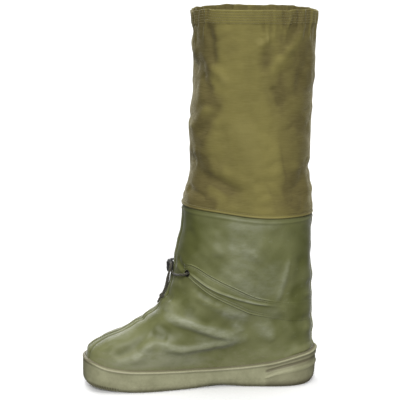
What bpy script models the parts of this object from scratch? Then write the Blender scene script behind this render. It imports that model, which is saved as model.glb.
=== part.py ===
"""Tall fur-lined rubber overshoe, the right shoe of a pair.

+Z is up, the toe points to -Y, and the medial (inner) side is +X. Sizes in the tables are millimetres.
Angles run round the shoe: 0 at the toe, 90 medial, 180 at the heel, 270 lateral.
"""

import math

import bmesh
import bpy
import numpy as np
from mathutils import Matrix, Vector

MM = 0.001
GAP = 0.3  # clearance between neighbouring pieces

# ---- sole ----
SOLE_TOE_Y = -169.0
SOLE_HEEL_Y = 166.0
CUP_WALL = 4.5
CUP_GAP = 0.5  # between the cup and the upper inside it
TOE_SPRING = 10.0  # how far the tread's toe end is lifted
TOE_SPRING_END = 0.26  # place along the sole, 0 toe to 1 heel
ARCH_RISE = 3.0
ARCH_START = 0.44
ARCH_END = 0.71
HEEL_BEVEL = 2.5
HEEL_BEVEL_START = 0.93
LEDGE_REACH = 3.5  # kick-off ledge across the back of the heel
LEDGE_SPREAD = 30.0  # degrees each side of the heel's middle
GROOVE_DEPTH = 2.5
GROOVE_WIDTH = 4.0
GROOVE_PITCH = 11.0
GROOVE_MARGIN = 13.0  # rubber left between a groove's end and the sidewall
FOREFOOT_GROOVES = (-132.0, 8)  # first groove's y, and how many
HEEL_GROOVES = (84.0, 6)
SOLE_ROUND = 72  # points round the sole
INSOLE_THICKNESS = 6.0
INSOLE_EDGE = 1.2  # bevel round the insole's top

# Outline of the sole's rim: place along the sole, reach to the medial and to the lateral side.
FOOTPRINT = (
    # place, medial, lateral
    (0.00, 9.0, 9.0),
    (0.02, 34.5, -17.5),
    (0.06, 46.0, -35.0),
    (0.12, 52.0, -48.5),
    (0.20, 55.0, -57.5),
    (0.30, 54.0, -61.5),
    (0.40, 48.0, -60.5),
    (0.50, 41.5, -55.5),
    (0.60, 38.5, -50.0),
    (0.70, 40.5, -47.0),
    (0.80, 44.0, -46.5),
    (0.88, 44.0, -45.5),
    (0.95, 35.0, -36.0),
    (1.00, 0.0, 0.0),
)

# Heights along the sole: top of the rim, and floor inside the cup.
SOLE_HEIGHTS = (
    # place, rim, floor
    (0.00, 47.0, 21.0),
    (0.04, 44.0, 18.5),
    (0.09, 38.0, 16.0),
    (0.16, 34.0, 13.0),
    (0.30, 31.5, 12.0),
    (0.45, 29.5, 13.5),
    (0.58, 29.0, 17.0),
    (0.70, 32.0, 19.0),
    (0.81, 38.0, 20.0),
    (0.90, 45.5, 20.5),
    (1.00, 50.5, 21.0),
)

# Outside of the outsole from tread to rim: how far in from the rim's outline, share of the way up to the rim,
# lift above that, and share of the heel's ledge.
SIDEWALL = (
    # inset, rim_share, lift, ledge_share
    (7.0, 0.0, 0.0, 0.0),
    (2.6, 0.0, 2.2, 0.0),
    (0.4, 0.0, 8.0, 0.0),
    (0.2, 0.6, -6.0, 0.3),
    (0.3, 1.0, -9.0, 0.9),
    (0.0, 1.0, -3.5, 1.0),
    (1.6, 1.0, -0.4, 0.0),
)

# ---- upper and shaft ----
SHELL = 1.6
LINING = 7.4  # pile of the fur lining
WALL = SHELL + LINING
LAP_LIFT = 1.4  # thickness of the textile where it laps over the rubber
LAP_FADE = (0.6, 0.3)  # levels above the lap where its bulge is nearly gone, and the lift left there
LAP_CLEAR = 0.03  # levels between the upper's top edge and the step in the shaft above it
HEM_LIFT = 1.2
HEM_WALL = 3.0
HEM_ROLL = 0.8  # rounding of the hem's folded top
HEM_STEP = 0.3  # levels over which the hem's fold swells out of the shaft
HEM_EDGE = 0.1  # levels from the hem's corners to its top, and from the pile to the hem inside
TUBE_POWER = 0.88  # below 1 the tube's cross-section is squarer than an ellipse

# One row for each ring of the outside: its front and back points on the middle plane, how much of the rim's
# dip it has, how much of the footprint's shape is left, that shape's scale, and half the width of the tube.
RINGS = (
    # name, front_y, front_z, back_y, back_z, dip, foot_share, foot_scale, tube_half
    ("rim", -164.0, 47.0, 161.0, 50.5, 1.00, 1.00, 1.00, 50.0),
    ("toe_wall", -159.0, 59.0, 161.0, 60.0, 0.95, 0.97, 1.00, 60.0),
    ("toe_top", -142.0, 69.5, 160.5, 70.5, 0.75, 0.88, 0.98, 61.0),
    ("vamp_low", -106.0, 84.5, 160.5, 82.0, 0.50, 0.72, 0.97, 60.0),
    ("vamp_high", -79.0, 102.0, 160.0, 98.0, 0.30, 0.55, 0.96, 59.0),
    ("instep", -61.0, 116.0, 160.0, 112.0, 0.15, 0.38, 0.95, 59.0),
    ("crease", -47.0, 136.5, 160.0, 131.0, 0.05, 0.20, 0.95, 59.5),
    ("ankle", -39.0, 164.0, 159.5, 158.0, 0.00, 0.08, 0.95, 60.5),
    ("leg_low", -33.5, 203.0, 158.5, 194.0, 0.00, 0.00, 1.00, 62.0),
    ("joint", -24.0, 262.0, 158.0, 248.0, 0.00, 0.00, 1.00, 63.5),
    ("lap_top", -22.5, 275.0, 157.0, 261.0, 0.00, 0.00, 1.00, 63.8),
    ("leg_bulge", -18.0, 305.0, 155.5, 296.0, 0.00, 0.00, 1.00, 64.2),
    ("calf_low", -14.5, 350.0, 155.0, 345.0, 0.00, 0.00, 1.00, 64.8),
    ("calf", -11.5, 415.0, 157.0, 412.0, 0.00, 0.00, 1.00, 65.3),
    ("calf_high", -9.5, 480.0, 160.5, 478.0, 0.00, 0.00, 1.00, 65.8),
    ("hem", -10.5, 518.0, 161.0, 517.0, 0.00, 0.00, 1.00, 66.0),
    ("top", -11.5, 535.0, 162.0, 534.0, 0.00, 0.00, 1.00, 66.0),
)
RING_NAMES = [row[0] for row in RINGS]
ROUND = 48  # points round the upper and shaft
UPPER_OUTSIDE = (0, 0.5, 1, 1.5, 2, 2.6, 3.2, 3.8, 4.4, 5, 5.5, 6, 6.5, 7, 8, 9, 10)  # levels of its rings
UPPER_INSIDE = (10, 9, 8, 7, 6.2, 5.4, 4.6, 3.8, 2.9, 2, 1, 0)
SHAFT_LEVELS = (11, 12, 13, 14)

# ---- drawcords ----
CORD = 3.0  # diameter
CORD_STEP = 1.5  # diameters between a tube's points
BORE = 4.0
EYELET_ANGLE = 37.0
EYELET_HEIGHT = 169.5
EYELET_HOLE = 6.8
EYELET_ROUND = 14
# Section of an eyelet, its barrel in the hole and its flange on the cloth.
EYELET_SECTION = (
    # radius, height over the cloth
    (2.5, -1.2),
    (3.1, -1.2),
    (3.1, 0.3),
    (4.8, 0.3),
    (5.0, 0.8),
    (4.4, 1.4),
    (3.4, 1.5),
    (2.5, 0.9),
)
HEM_EYELET_HEIGHT = 526.0
HEM_EYELET_ANGLES = {"front": 292.0, "back": 278.0}
ANKLE_LOCK = Vector((9.0, -42.4, 174.0))
HEM_LOCK = Vector((-71.2, 52.5, 505.0))
LOCK_SIZE = (11.0, 8.0, 18.0)  # along its bores, through, and from end to end
LOCK_ROUND = 20
BORE_OFFSET = 5.0  # from the lock's middle to each bore
LOCK_SECTIONS = (
    # place from end to end, scale
    (-0.50, 0.62),
    (-0.44, 0.88),
    (-0.30, 1.00),
    (-0.06, 0.97),
    (0.06, 0.97),
    (0.30, 1.00),
    (0.44, 0.88),
    (0.50, 0.62),
)

# Tunnel of the ankle drawcord: height of its middle at angles from the front, alike on both sides.
TUNNEL = (
    # angle, height
    (31.0, 170.5),
    (45.0, 165.0),
    (62.0, 150.5),
    (84.0, 136.0),
    (116.0, 121.0),
    (150.0, 113.0),
    (180.0, 111.0),
)
TAPE_LIFT = 1.8  # the tape's outer face over the skin, at its middle
TUNNEL_START = 30.0
TUNNEL_STEP = 7.5
TUNNEL_RIDGE_START = 43.0  # the ridge over the cord swells up between these angles
TUNNEL_RIDGE_FULL = 52.0
# Section across the tape: distance from its middle, lift off the skin, and extra lift over the cord.
TUNNEL_SECTION = (
    # across, lift, ridge
    (-14.0, 0.7, 0.0),
    (-14.0, 1.5, 0.0),
    (-5.0, 1.7, 0.0),
    (-2.4, TAPE_LIFT, 1.7),
    (0.0, TAPE_LIFT, 2.6),
    (2.4, TAPE_LIFT, 1.7),
    (5.0, 1.7, 0.0),
    (14.0, 1.5, 0.0),
    (14.0, 0.7, 0.0),
    (0.0, 0.7, 0.0),
)

# Routes of the cords, each a list of points chosen by hand along its middle line.
ANKLE_BAR_MEDIAL = (
    (39.9, -20.3, 169.5),
    (41.3, -21.5, 169.6),
    (43.4, -23.9, 169.7),
    (44.2, -27.3, 169.6),
    (42.6, -31.0, 169.2),
    (38.6, -33.4, 168.6),
    (30.5, -36.0, 167.6),
    (22.8, -39.0, 167.0),
    (18.2, -41.0, 167.8),
    (14.8, -42.1, 168.8),
    (12.0, -42.4, 169.0),
    (9.15, -42.4, 169.0),
)
ANKLE_BAR_LATERAL = (
    (-39.6, -19.6, 169.5),
    (-40.9, -20.7, 169.7),
    (-42.9, -23.1, 170.0),
    (-43.6, -26.5, 170.4),
    (-42.0, -30.2, 170.9),
    (-38.0, -32.8, 171.8),
    (-28.5, -36.4, 174.0),
    (-17.6, -39.2, 176.7),
    (-8.4, -40.8, 178.4),
    (-1.5, -42.0, 179.0),
    (3.5, -42.4, 179.0),
    (8.85, -42.4, 179.0),
)
ANKLE_STRAND_UPPER = (
    (9.15, -42.4, 179.0),
    (14.5, -42.4, 179.0),
    (19.6, -42.6, 178.4),
    (23.6, -43.6, 175.2),
    (24.8, -45.0, 170.2),
    (23.0, -46.6, 164.6),
    (19.0, -47.8, 158.4),
    (15.0, -48.6, 152.0),
    (12.4, -49.7, 145.8),
    (11.2, -51.4, 139.6),
    (10.3, -54.0, 133.4),
)
ANKLE_STRAND_LOWER = (
    (8.85, -42.4, 169.0),
    (3.5, -42.4, 169.0),
    (-1.4, -42.6, 168.4),
    (-5.0, -43.1, 165.4),
    (-6.0, -43.8, 160.6),
    (-4.2, -44.7, 155.0),
    (-0.4, -46.0, 149.0),
    (3.2, -48.2, 143.0),
    (5.4, -51.0, 137.8),
    (6.8, -53.6, 133.3),
)
ANKLE_KNOT = Vector((8.5, -55.2, 130.0))
ANKLE_KNOT_TIP = Vector((8.8, -61.4, 119.4))
HEM_BAR_FRONT = (
    (-62.2, 41.9, 526.0),
    (-63.9, 41.5, 526.0),
    (-66.6, 41.1, 525.4),
    (-69.4, 41.3, 523.4),
    (-71.3, 42.6, 520.2),
    (-71.8, 44.6, 516.6),
    (-71.4, 46.6, 512.8),
    (-71.2, 47.5, 509.0),
    (-71.2, 47.5, 505.15),
)
HEM_BAR_BACK = (
    (-65.8, 62.5, 526.0),
    (-67.8, 62.3, 526.0),
    (-71.0, 62.0, 525.0),
    (-73.4, 61.2, 522.2),
    (-74.0, 60.0, 518.4),
    (-73.0, 58.7, 514.8),
    (-71.6, 57.8, 511.6),
    (-71.2, 57.5, 508.4),
    (-71.2, 57.5, 505.15),
)
HEM_STRAND_FRONT = (
    (-71.2, 47.5, 504.85),
    (-71.2, 47.5, 499.0),
    (-71.2, 47.3, 493.0),
    (-71.0, 47.6, 486.5),
    (-70.2, 49.0, 480.0),
    (-68.9, 50.8, 473.6),
)
HEM_STRAND_BACK = (
    (-71.2, 57.5, 504.85),
    (-71.2, 57.5, 499.0),
    (-71.2, 57.7, 493.0),
    (-71.0, 57.4, 486.5),
    (-70.2, 56.0, 480.0),
    (-68.9, 54.2, 473.6),
)
HEM_KNOT = Vector((-68.6, 52.5, 470.0))
HEM_KNOT_TIP = Vector((-68.2, 52.5, 456.0))
KNOT_RADIUS = 3.4
KNOT_ROUND = 12
# A knot's rings: radius, and height as a number of knot radii plus a share of the length to the tip.
KNOT_SECTIONS = (
    # radius, knot_radii, length_share
    (0.3, -1.00, 0.00),
    (2.3, -0.82, 0.00),
    (KNOT_RADIUS, -0.15, 0.00),
    (3.1, 0.45, 0.00),
    (2.5, 0.95, 0.00),
    (2.1, 0.00, 0.55),
    (1.6, 0.00, 0.95),
    (0.3, 0.00, 1.00),
)
CUTTER_ROUND = 16


def smooth(at, places, values):
    """Cubic through a table's points, each point's slope taken from its neighbours."""
    places = np.asarray(places, float)
    values = np.asarray(values, float)
    slopes = np.gradient(values, places)
    left = np.clip(np.searchsorted(places, at, side="right") - 1, 0, len(places) - 2)
    span = places[left + 1] - places[left]
    u = (at - places[left]) / span
    return (
        values[left] * (2 * u**3 - 3 * u**2 + 1)
        + values[left + 1] * (3 * u**2 - 2 * u**3)
        + slopes[left] * span * (u**3 - 2 * u**2 + u)
        + slopes[left + 1] * span * (u**3 - u**2)
    )


def table_angles():
    """Angles and reaches of the footprint's rows, once round, with a row more at each end to close it."""
    places = np.array([row[0] for row in FOOTPRINT])
    half = np.arccos(1 - 2 * places)
    angles = np.concatenate([half, 2 * np.pi - half[-2:0:-1]])
    reach = np.concatenate([[row[1] for row in FOOTPRINT], [row[2] for row in FOOTPRINT][-2:0:-1]])
    before = slice(-3, None)
    after = slice(0, 3)
    angles = np.concatenate([angles[before] - 2 * np.pi, angles, angles[after] + 2 * np.pi])
    return angles, np.concatenate([reach[before], reach, reach[after]])


FOOT_ANGLES, FOOT_REACH = table_angles()


def footprint(angle, inset=0.0):
    """Outline of the sole's rim at an angle, moved inwards by inset."""

    def line(a):
        x = smooth(np.mod(a, 2 * np.pi), FOOT_ANGLES, FOOT_REACH)
        return x, SOLE_TOE_Y + (SOLE_HEEL_Y - SOLE_TOE_Y) * (1 - np.cos(a)) / 2

    x, y = line(angle)
    step = 1e-3
    ahead = line(angle + step)
    behind = line(angle - step)
    along_x = ahead[0] - behind[0]
    along_y = ahead[1] - behind[1]
    length = np.hypot(along_x, along_y)
    return x - inset * along_y / length, y + inset * along_x / length


def place_of(y):
    """Place along the sole, 0 at the toe and 1 at the heel."""
    return np.clip((y - SOLE_TOE_Y) / (SOLE_HEEL_Y - SOLE_TOE_Y), 0.0, 1.0)


def rim_height(place):
    return smooth(place, [row[0] for row in SOLE_HEIGHTS], [row[1] for row in SOLE_HEIGHTS])


def floor_height(place):
    return smooth(place, [row[0] for row in SOLE_HEIGHTS], [row[2] for row in SOLE_HEIGHTS])


def tread_height(place):
    """Underside of the sole: lifted toe, raised arch and bevelled heel end, flat between them."""
    toe = TOE_SPRING * np.clip(1 - place / TOE_SPRING_END, 0, 1) ** 2
    along_arch = np.clip((place - ARCH_START) / (ARCH_END - ARCH_START), 0, 1)
    arch = ARCH_RISE * np.sin(np.pi * along_arch) ** 2
    heel = HEEL_BEVEL * np.clip((place - HEEL_BEVEL_START) / (1 - HEEL_BEVEL_START), 0, 1) ** 2
    return toe + arch + heel


def ring_column(level, column):
    return smooth(level, np.arange(len(RINGS)), [row[column] for row in RINGS])


def skin(angle, level):
    """A point on the outside of upper and shaft. Level counts the rows of RINGS, and may lie between two."""
    foot_x, foot_y = footprint(angle, CUP_WALL + CUP_GAP)
    foot_toe = SOLE_TOE_Y + CUP_WALL + CUP_GAP
    foot_heel = SOLE_HEEL_Y - CUP_WALL - CUP_GAP
    along = (foot_y - foot_toe) / (foot_heel - foot_toe)
    front_y, front_z, back_y, back_z, dip, share, scale, half = (
        ring_column(level, column) for column in range(1, 9)
    )
    straight = rim_height(0.0) + (rim_height(1.0) - rim_height(0.0)) * along
    tube_x = half * np.sign(np.sin(angle)) * np.abs(np.sin(angle)) ** TUBE_POWER
    x = share * scale * foot_x + (1 - share) * tube_x
    y = front_y + (back_y - front_y) * along
    z = front_z + (back_z - front_z) * along - dip * (straight - rim_height(np.clip(along, 0, 1)))
    return np.stack([x, y, z], axis=-1)


def outward(angle, level):
    """Unit normal of the skin, pointing out."""
    step = 1e-3
    round_it = skin(angle + step, level) - skin(angle - step, level)
    up_it = skin(angle, level + step) - skin(angle, level - step)
    normal = np.cross(round_it, up_it)
    return normal / np.linalg.norm(normal, axis=-1, keepdims=True)


def skin_ring(level, lift=0.0, count=ROUND):
    angle = np.arange(count) * 2 * np.pi / count
    level = np.full(count, float(level))
    return skin(angle, level) + lift * outward(angle, level)


def level_at(angle, height):
    """The level at which the skin reaches a height, for each angle."""
    levels = np.linspace(0, len(RINGS) - 1, 321)
    found = []
    for one_angle, one_height in zip(np.atleast_1d(angle), np.atleast_1d(height)):
        heights = skin(np.full(levels.shape, one_angle), levels)[:, 2]
        found.append(np.interp(one_height, heights, levels))
    return np.array(found)


# ---- making meshes ----


def material(name, colour, roughness, metallic=0.0):
    made = bpy.data.materials.new(name)
    made.use_nodes = True
    shader = made.node_tree.nodes["Principled BSDF"]
    shader.inputs["Base Color"].default_value = (*colour, 1.0)
    shader.inputs["Roughness"].default_value = roughness
    shader.inputs["Metallic"].default_value = metallic
    return made


def add_mesh(name, points, faces, finish):
    """A new object from points in millimetres."""
    mesh = bpy.data.meshes.new(name)
    mesh.from_pydata((np.asarray(points) * MM).tolist(), [], faces)
    mesh.validate()
    working = bmesh.new()
    working.from_mesh(mesh)
    bmesh.ops.recalc_face_normals(working, faces=working.faces)
    working.to_mesh(mesh)
    working.free()
    mesh.shade_smooth()
    mesh.set_sharp_from_angle(angle=math.radians(40))
    mesh.materials.append(finish)
    made = bpy.data.objects.new(name, mesh)
    bpy.context.scene.collection.objects.link(made)
    return made


def between_rings(first, second, count):
    """Quads that join two rings of points, given the index at which each starts."""
    return [
        (first + i, first + (i + 1) % count, second + (i + 1) % count, second + i)
        for i in range(count)
    ]


def ladder(start, count):
    """A cap over a ring, as rungs from the medial to the lateral side."""
    faces = [(start, start + 1, start + count - 1)]
    for i in range(1, count // 2 - 1):
        faces.append((start + i, start + i + 1, start + count - i - 1, start + count - i))
    middle = start + count // 2
    faces.append((middle - 1, middle, middle + 1))
    return faces


def add_wall(name, rings, finish):
    """A closed wall from rings that go up its outside and come down its inside."""
    count = len(rings[0])
    faces = []
    for i in range(len(rings)):
        faces += between_rings(i * count, (i + 1) % len(rings) * count, count)
    return add_mesh(name, np.concatenate(rings), faces, finish)


def add_capped(name, rings, finish):
    """A closed solid from rings, with a ladder over the first and the last."""
    count = len(rings[0])
    faces = ladder(0, count) + ladder((len(rings) - 1) * count, count)
    for i in range(len(rings) - 1):
        faces += between_rings(i * count, (i + 1) * count, count)
    return add_mesh(name, np.concatenate(rings), faces, finish)


def clear_scene():
    for old in list(bpy.data.objects):
        bpy.data.objects.remove(old, do_unlink=True)


def turned(profile, count):
    """Points and faces of a closed ring, turned about +Z from a loop of (radius, height)."""
    angle = np.arange(count) * 2 * np.pi / count
    rings = [
        np.stack([radius * np.cos(angle), radius * np.sin(angle), np.full(count, height)], axis=-1)
        for radius, height in profile
    ]
    faces = []
    for i in range(len(rings)):
        faces += between_rings(i * count, (i + 1) % len(rings) * count, count)
    return np.concatenate(rings), faces


def facing(centre, direction):
    """A matrix that puts +Z along a direction, at a centre."""
    turn = Vector(direction).to_track_quat("Z", "X").to_matrix().to_4x4()
    return Matrix.Translation(Vector(centre)) @ turn


def moved(points, matrix):
    turn = np.array(matrix.to_3x3())
    return np.asarray(points) @ turn.T + np.array(matrix.translation)


def cut_away(target, name, working):
    """Cuts a bmesh's shape out of an object, with a Boolean."""
    mesh = bpy.data.meshes.new(name)
    working.to_mesh(mesh)
    working.free()
    cutter = bpy.data.objects.new(name, mesh)
    cutter.hide_render = True
    cutter.display_type = "WIRE"
    bpy.context.scene.collection.objects.link(cutter)
    cut = target.modifiers.new(name, "BOOLEAN")
    cut.operation = "DIFFERENCE"
    cut.solver = "EXACT"
    cut.object = cutter


def cut_hole(target, name, diameter, start, end):
    """Cuts a round hole of a diameter from start to end."""
    working = bmesh.new()
    bmesh.ops.create_cone(
        working,
        cap_ends=True,
        segments=CUTTER_ROUND,
        radius1=diameter / 2 * MM,
        radius2=diameter / 2 * MM,
        depth=(end - start).length * MM,
        matrix=facing((start + end) / 2 * MM, end - start),
    )
    cut_away(target, name, working)


# ---- pieces ----


def sole_ring(inset, height, ledge_share=0.0):
    """A ring of the sole, with its share of the ledge across the heel. Height is a function of the place."""
    angle = np.arange(SOLE_ROUND) * 2 * np.pi / SOLE_ROUND
    off_middle = (angle - np.pi) / math.radians(LEDGE_SPREAD)
    x, y = footprint(angle, inset - ledge_share * LEDGE_REACH * np.exp(-(off_middle**2)))
    return np.stack([x, y, height(place_of(y))], axis=-1)


def make_outsole(finish):
    rings = []
    for inset, rim_share, lift, ledge_share in SIDEWALL:

        def height(place):
            return tread_height(place) * (1 - rim_share) + rim_height(place) * rim_share + lift

        rings.append(sole_ring(inset, height, ledge_share))
    rings += [
        sole_ring(CUP_WALL, rim_height),
        sole_ring(CUP_WALL, lambda place: (rim_height(place) + floor_height(place)) / 2),
        sole_ring(CUP_WALL, floor_height),
    ]
    outsole = add_capped("outsole", rings, finish)
    working = bmesh.new()
    for first, count in (FOREFOOT_GROOVES, HEEL_GROOVES):
        for i in range(count):
            add_groove(working, first + i * GROOVE_PITCH)
    cut_away(outsole, "grooves", working)


def add_groove(working, y):
    """A bar across the tread, laid along the tread's slope."""
    angle = np.linspace(0, np.pi, 181)
    x_medial, y_medial = footprint(angle, GROOVE_MARGIN)
    x_lateral, y_lateral = footprint(-angle, GROOVE_MARGIN)
    right = np.interp(y, y_medial, x_medial)
    left = np.interp(y, y_lateral, x_lateral)
    half = GROOVE_WIDTH / 2
    behind = float(tread_height(place_of(y + half)))
    ahead = float(tread_height(place_of(y - half)))
    slope = math.atan2(behind - ahead, GROOVE_WIDTH)
    size = Matrix.Diagonal(((right - left) * MM, GROOVE_WIDTH * MM, 2 * GROOVE_DEPTH * MM, 1.0))
    centre = Vector(((left + right) / 2, y, (behind + ahead) / 2)) * MM
    bmesh.ops.create_cube(
        working,
        size=1.0,
        matrix=Matrix.Translation(centre) @ Matrix.Rotation(slope, 4, "X") @ size,
    )


def floor_ring(inset, lift):
    """A ring over the floor of the cup."""
    angle = np.arange(ROUND) * 2 * np.pi / ROUND
    x, y = footprint(angle, inset)
    return np.stack([x, y, floor_height(place_of(y)) + lift], axis=-1)


def make_upper(finish):
    """Foot and ankle: one wall from the sole's floor to the top of the lap, with its lining."""
    inset = CUP_WALL + CUP_GAP
    rings = [floor_ring(inset, GAP)]
    rings += [skin_ring(level) for level in UPPER_OUTSIDE]
    rings += [skin_ring(level, -WALL) for level in UPPER_INSIDE]
    rings.append(floor_ring(inset + WALL, GAP))
    add_wall("upper", rings, finish)


def make_insole(finish):
    inset = CUP_WALL + CUP_GAP + WALL + 2 * GAP
    rings = [
        floor_ring(inset, GAP),
        floor_ring(inset, INSOLE_THICKNESS - INSOLE_EDGE),
        floor_ring(inset + INSOLE_EDGE, INSOLE_THICKNESS),
    ]
    add_capped("insole", rings, finish)


def make_shaft(finish):
    """Textile leg: laps over the upper's top, and ends in the folded hem."""
    joint = RING_NAMES.index("joint")
    lap_top = RING_NAMES.index("lap_top")
    hem = RING_NAMES.index("hem")
    top = RING_NAMES.index("top")
    above_lap = lap_top + LAP_CLEAR
    fade_levels, fade_lift = LAP_FADE
    inner_lift = HEM_LIFT - HEM_WALL
    rings = [
        skin_ring(joint, GAP),
        skin_ring(joint, GAP + LAP_LIFT),
        skin_ring(lap_top, GAP + LAP_LIFT),
        skin_ring(lap_top + fade_levels, fade_lift),
    ]
    rings += [skin_ring(level) for level in SHAFT_LEVELS]
    rings += [
        skin_ring(hem - HEM_STEP),
        skin_ring(hem, HEM_LIFT),
        skin_ring(top - HEM_EDGE, HEM_LIFT),
        skin_ring(top, HEM_LIFT - HEM_ROLL),
        skin_ring(top, inner_lift + HEM_ROLL),
        skin_ring(top - HEM_EDGE, inner_lift),
        skin_ring(hem, inner_lift),
        skin_ring(hem - HEM_EDGE, -WALL),
    ]
    rings += [skin_ring(level, -WALL) for level in reversed(SHAFT_LEVELS)]
    rings += [skin_ring(above_lap, -WALL), skin_ring(above_lap, GAP)]
    return add_wall("shaft", rings, finish)


def tunnel_height(angle):
    """Height of the tunnel's middle at an angle in degrees."""
    from_front = np.minimum(angle, 360 - angle)
    return smooth(from_front, [row[0] for row in TUNNEL], [row[1] for row in TUNNEL])


def make_ankle_tape(finish):
    """The strip that holds the drawcord, from eyelet to eyelet round the heel."""
    stations = np.arange(TUNNEL_START, 360 - TUNNEL_START + 0.1, TUNNEL_STEP)
    from_front = np.minimum(stations, 360 - stations)
    swell = (from_front - TUNNEL_RIDGE_START) / (TUNNEL_RIDGE_FULL - TUNNEL_RIDGE_START)
    swell = np.clip(swell, 0, 1)
    angle = np.radians(stations)
    middle = tunnel_height(stations)
    rows = []
    for across, lift, ridge in TUNNEL_SECTION:
        level = level_at(angle, middle + across)
        rows.append(skin(angle, level) + (lift + ridge * swell)[:, None] * outward(angle, level))
    rings = np.stack(rows, axis=1)  # one ring of section points at each station
    count = len(TUNNEL_SECTION)
    faces = [tuple(range(count)), tuple(range((len(rings) - 1) * count, len(rings) * count))]
    for i in range(len(rings) - 1):
        faces += between_rings(i * count, (i + 1) * count, count)
    tape = add_mesh("ankle_tape", rings.reshape(-1, 3), faces, finish)
    return tape


def eyelet_seat(degrees, height, lift):
    """Centre of an eyelet on the cloth, and the way it faces."""
    angle = np.radians([degrees])
    level = level_at(angle, height)
    normal = outward(angle, level)[0]
    return Vector(skin(angle, level)[0] + lift * normal), Vector(normal)


def make_eyelet(name, carrier, seat, finish):
    """Flanged eyelet, and the hole for it in the cloth that carries it."""
    centre, normal = seat
    points, faces = turned(EYELET_SECTION, EYELET_ROUND)
    add_mesh(name, moved(points, facing(centre, normal)), faces, finish)
    reach = EYELET_HOLE / 2 * normal
    cut_hole(carrier, name + "_hole", EYELET_HOLE, centre - reach, centre + reach)


def make_lock(name, centre, long_axis, bore_axis, finish):
    """Cord lock: a flattened barrel with two bores across it, one above the other along long_axis."""
    along_bores, through, end_to_end = LOCK_SIZE
    long_axis = Vector(long_axis)
    bore_axis = Vector(bore_axis)
    through_axis = long_axis.cross(bore_axis)
    angle = np.arange(LOCK_ROUND) * 2 * np.pi / LOCK_ROUND
    rings = []
    for place, scale in LOCK_SECTIONS:
        ring = np.outer(np.cos(angle) * along_bores / 2 * scale, bore_axis)
        ring += np.outer(np.sin(angle) * through / 2 * scale, through_axis)
        rings.append(ring + np.array(centre + long_axis * (place * end_to_end)))
    lock = add_capped(name, rings, finish)
    reach = bore_axis * along_bores
    for which, offset in (("upper", BORE_OFFSET), ("lower", -BORE_OFFSET)):
        middle = centre + long_axis * offset
        cut_hole(lock, name + "_bore_" + which, BORE, middle - reach, middle + reach)


def make_cord(name, route, finish):
    """A round cord along a smooth curve through its route."""
    route = np.asarray(route, float)
    steps = np.linalg.norm(np.diff(route, axis=0), axis=1)
    along = np.concatenate([[0.0], np.cumsum(steps)])
    count = max(4, round(along[-1] / (CORD_STEP * CORD)) + 1)
    at = np.linspace(0, along[-1], count)
    points = np.stack([smooth(at, along, route[:, axis]) for axis in range(3)], axis=-1)
    curve = bpy.data.curves.new(name, "CURVE")
    curve.dimensions = "3D"
    curve.bevel_depth = CORD / 2 * MM
    curve.bevel_resolution = 2
    curve.use_fill_caps = True
    spline = curve.splines.new("POLY")
    spline.points.add(count - 1)
    for point, place in zip(spline.points, points):
        point.co = (*(place * MM), 1.0)
    curve.materials.append(finish)
    cord = bpy.data.objects.new(name, curve)
    bpy.context.scene.collection.objects.link(cord)


def make_knot(name, centre, tip, finish):
    """Knot of the two strands, with their tails close together below it."""
    length = (tip - centre).length
    angle = np.arange(KNOT_ROUND) * 2 * np.pi / KNOT_ROUND
    rings = []
    for radius, knot_radii, length_share in KNOT_SECTIONS:
        height = np.full(KNOT_ROUND, knot_radii * KNOT_RADIUS + length_share * length)
        ring = np.stack([radius * np.cos(angle), radius * np.sin(angle), height], axis=-1)
        rings.append(moved(ring, facing(centre, tip - centre)))
    add_capped(name, rings, finish)


def main():
    clear_scene()
    rubber = material("sole_rubber", (0.27, 0.26, 0.17), 0.55)
    coated = material("coated_cloth", (0.15, 0.16, 0.08), 0.38)
    textile = material("textile", (0.19, 0.16, 0.06), 0.85)
    felt = material("felt", (0.22, 0.19, 0.08), 0.95)
    make_outsole(rubber)
    make_insole(felt)
    make_upper(coated)
    shaft = make_shaft(textile)
    tape = make_ankle_tape(coated)
    cord = material("cord", (0.03, 0.03, 0.025), 0.9)
    plastic = material("lock_plastic", (0.03, 0.03, 0.03), 0.4)
    metal = material("eyelet_metal", (0.05, 0.05, 0.045), 0.4, metallic=1.0)
    for side, degrees in (("medial", EYELET_ANGLE), ("lateral", 360 - EYELET_ANGLE)):
        make_eyelet("ankle_eyelet_" + side, tape, eyelet_seat(degrees, EYELET_HEIGHT, TAPE_LIFT), metal)
    for side, degrees in HEM_EYELET_ANGLES.items():
        seat = eyelet_seat(degrees, HEM_EYELET_HEIGHT, HEM_LIFT)
        make_eyelet("hem_eyelet_" + side, shaft, seat, metal)
    make_lock("ankle_lock", ANKLE_LOCK, (0.0, 0.0, 1.0), (1.0, 0.0, 0.0), plastic)
    make_lock("hem_lock", HEM_LOCK, (0.0, 1.0, 0.0), (0.0, 0.0, 1.0), plastic)
    for name, route in (
        ("ankle_bar_medial", ANKLE_BAR_MEDIAL),
        ("ankle_bar_lateral", ANKLE_BAR_LATERAL),
        ("ankle_strand_upper", ANKLE_STRAND_UPPER),
        ("ankle_strand_lower", ANKLE_STRAND_LOWER),
        ("hem_bar_front", HEM_BAR_FRONT),
        ("hem_bar_back", HEM_BAR_BACK),
        ("hem_strand_front", HEM_STRAND_FRONT),
        ("hem_strand_back", HEM_STRAND_BACK),
    ):
        make_cord(name, route, cord)
    make_knot("ankle_knot", ANKLE_KNOT, ANKLE_KNOT_TIP, cord)
    make_knot("hem_knot", HEM_KNOT, HEM_KNOT_TIP, cord)


main()
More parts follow.
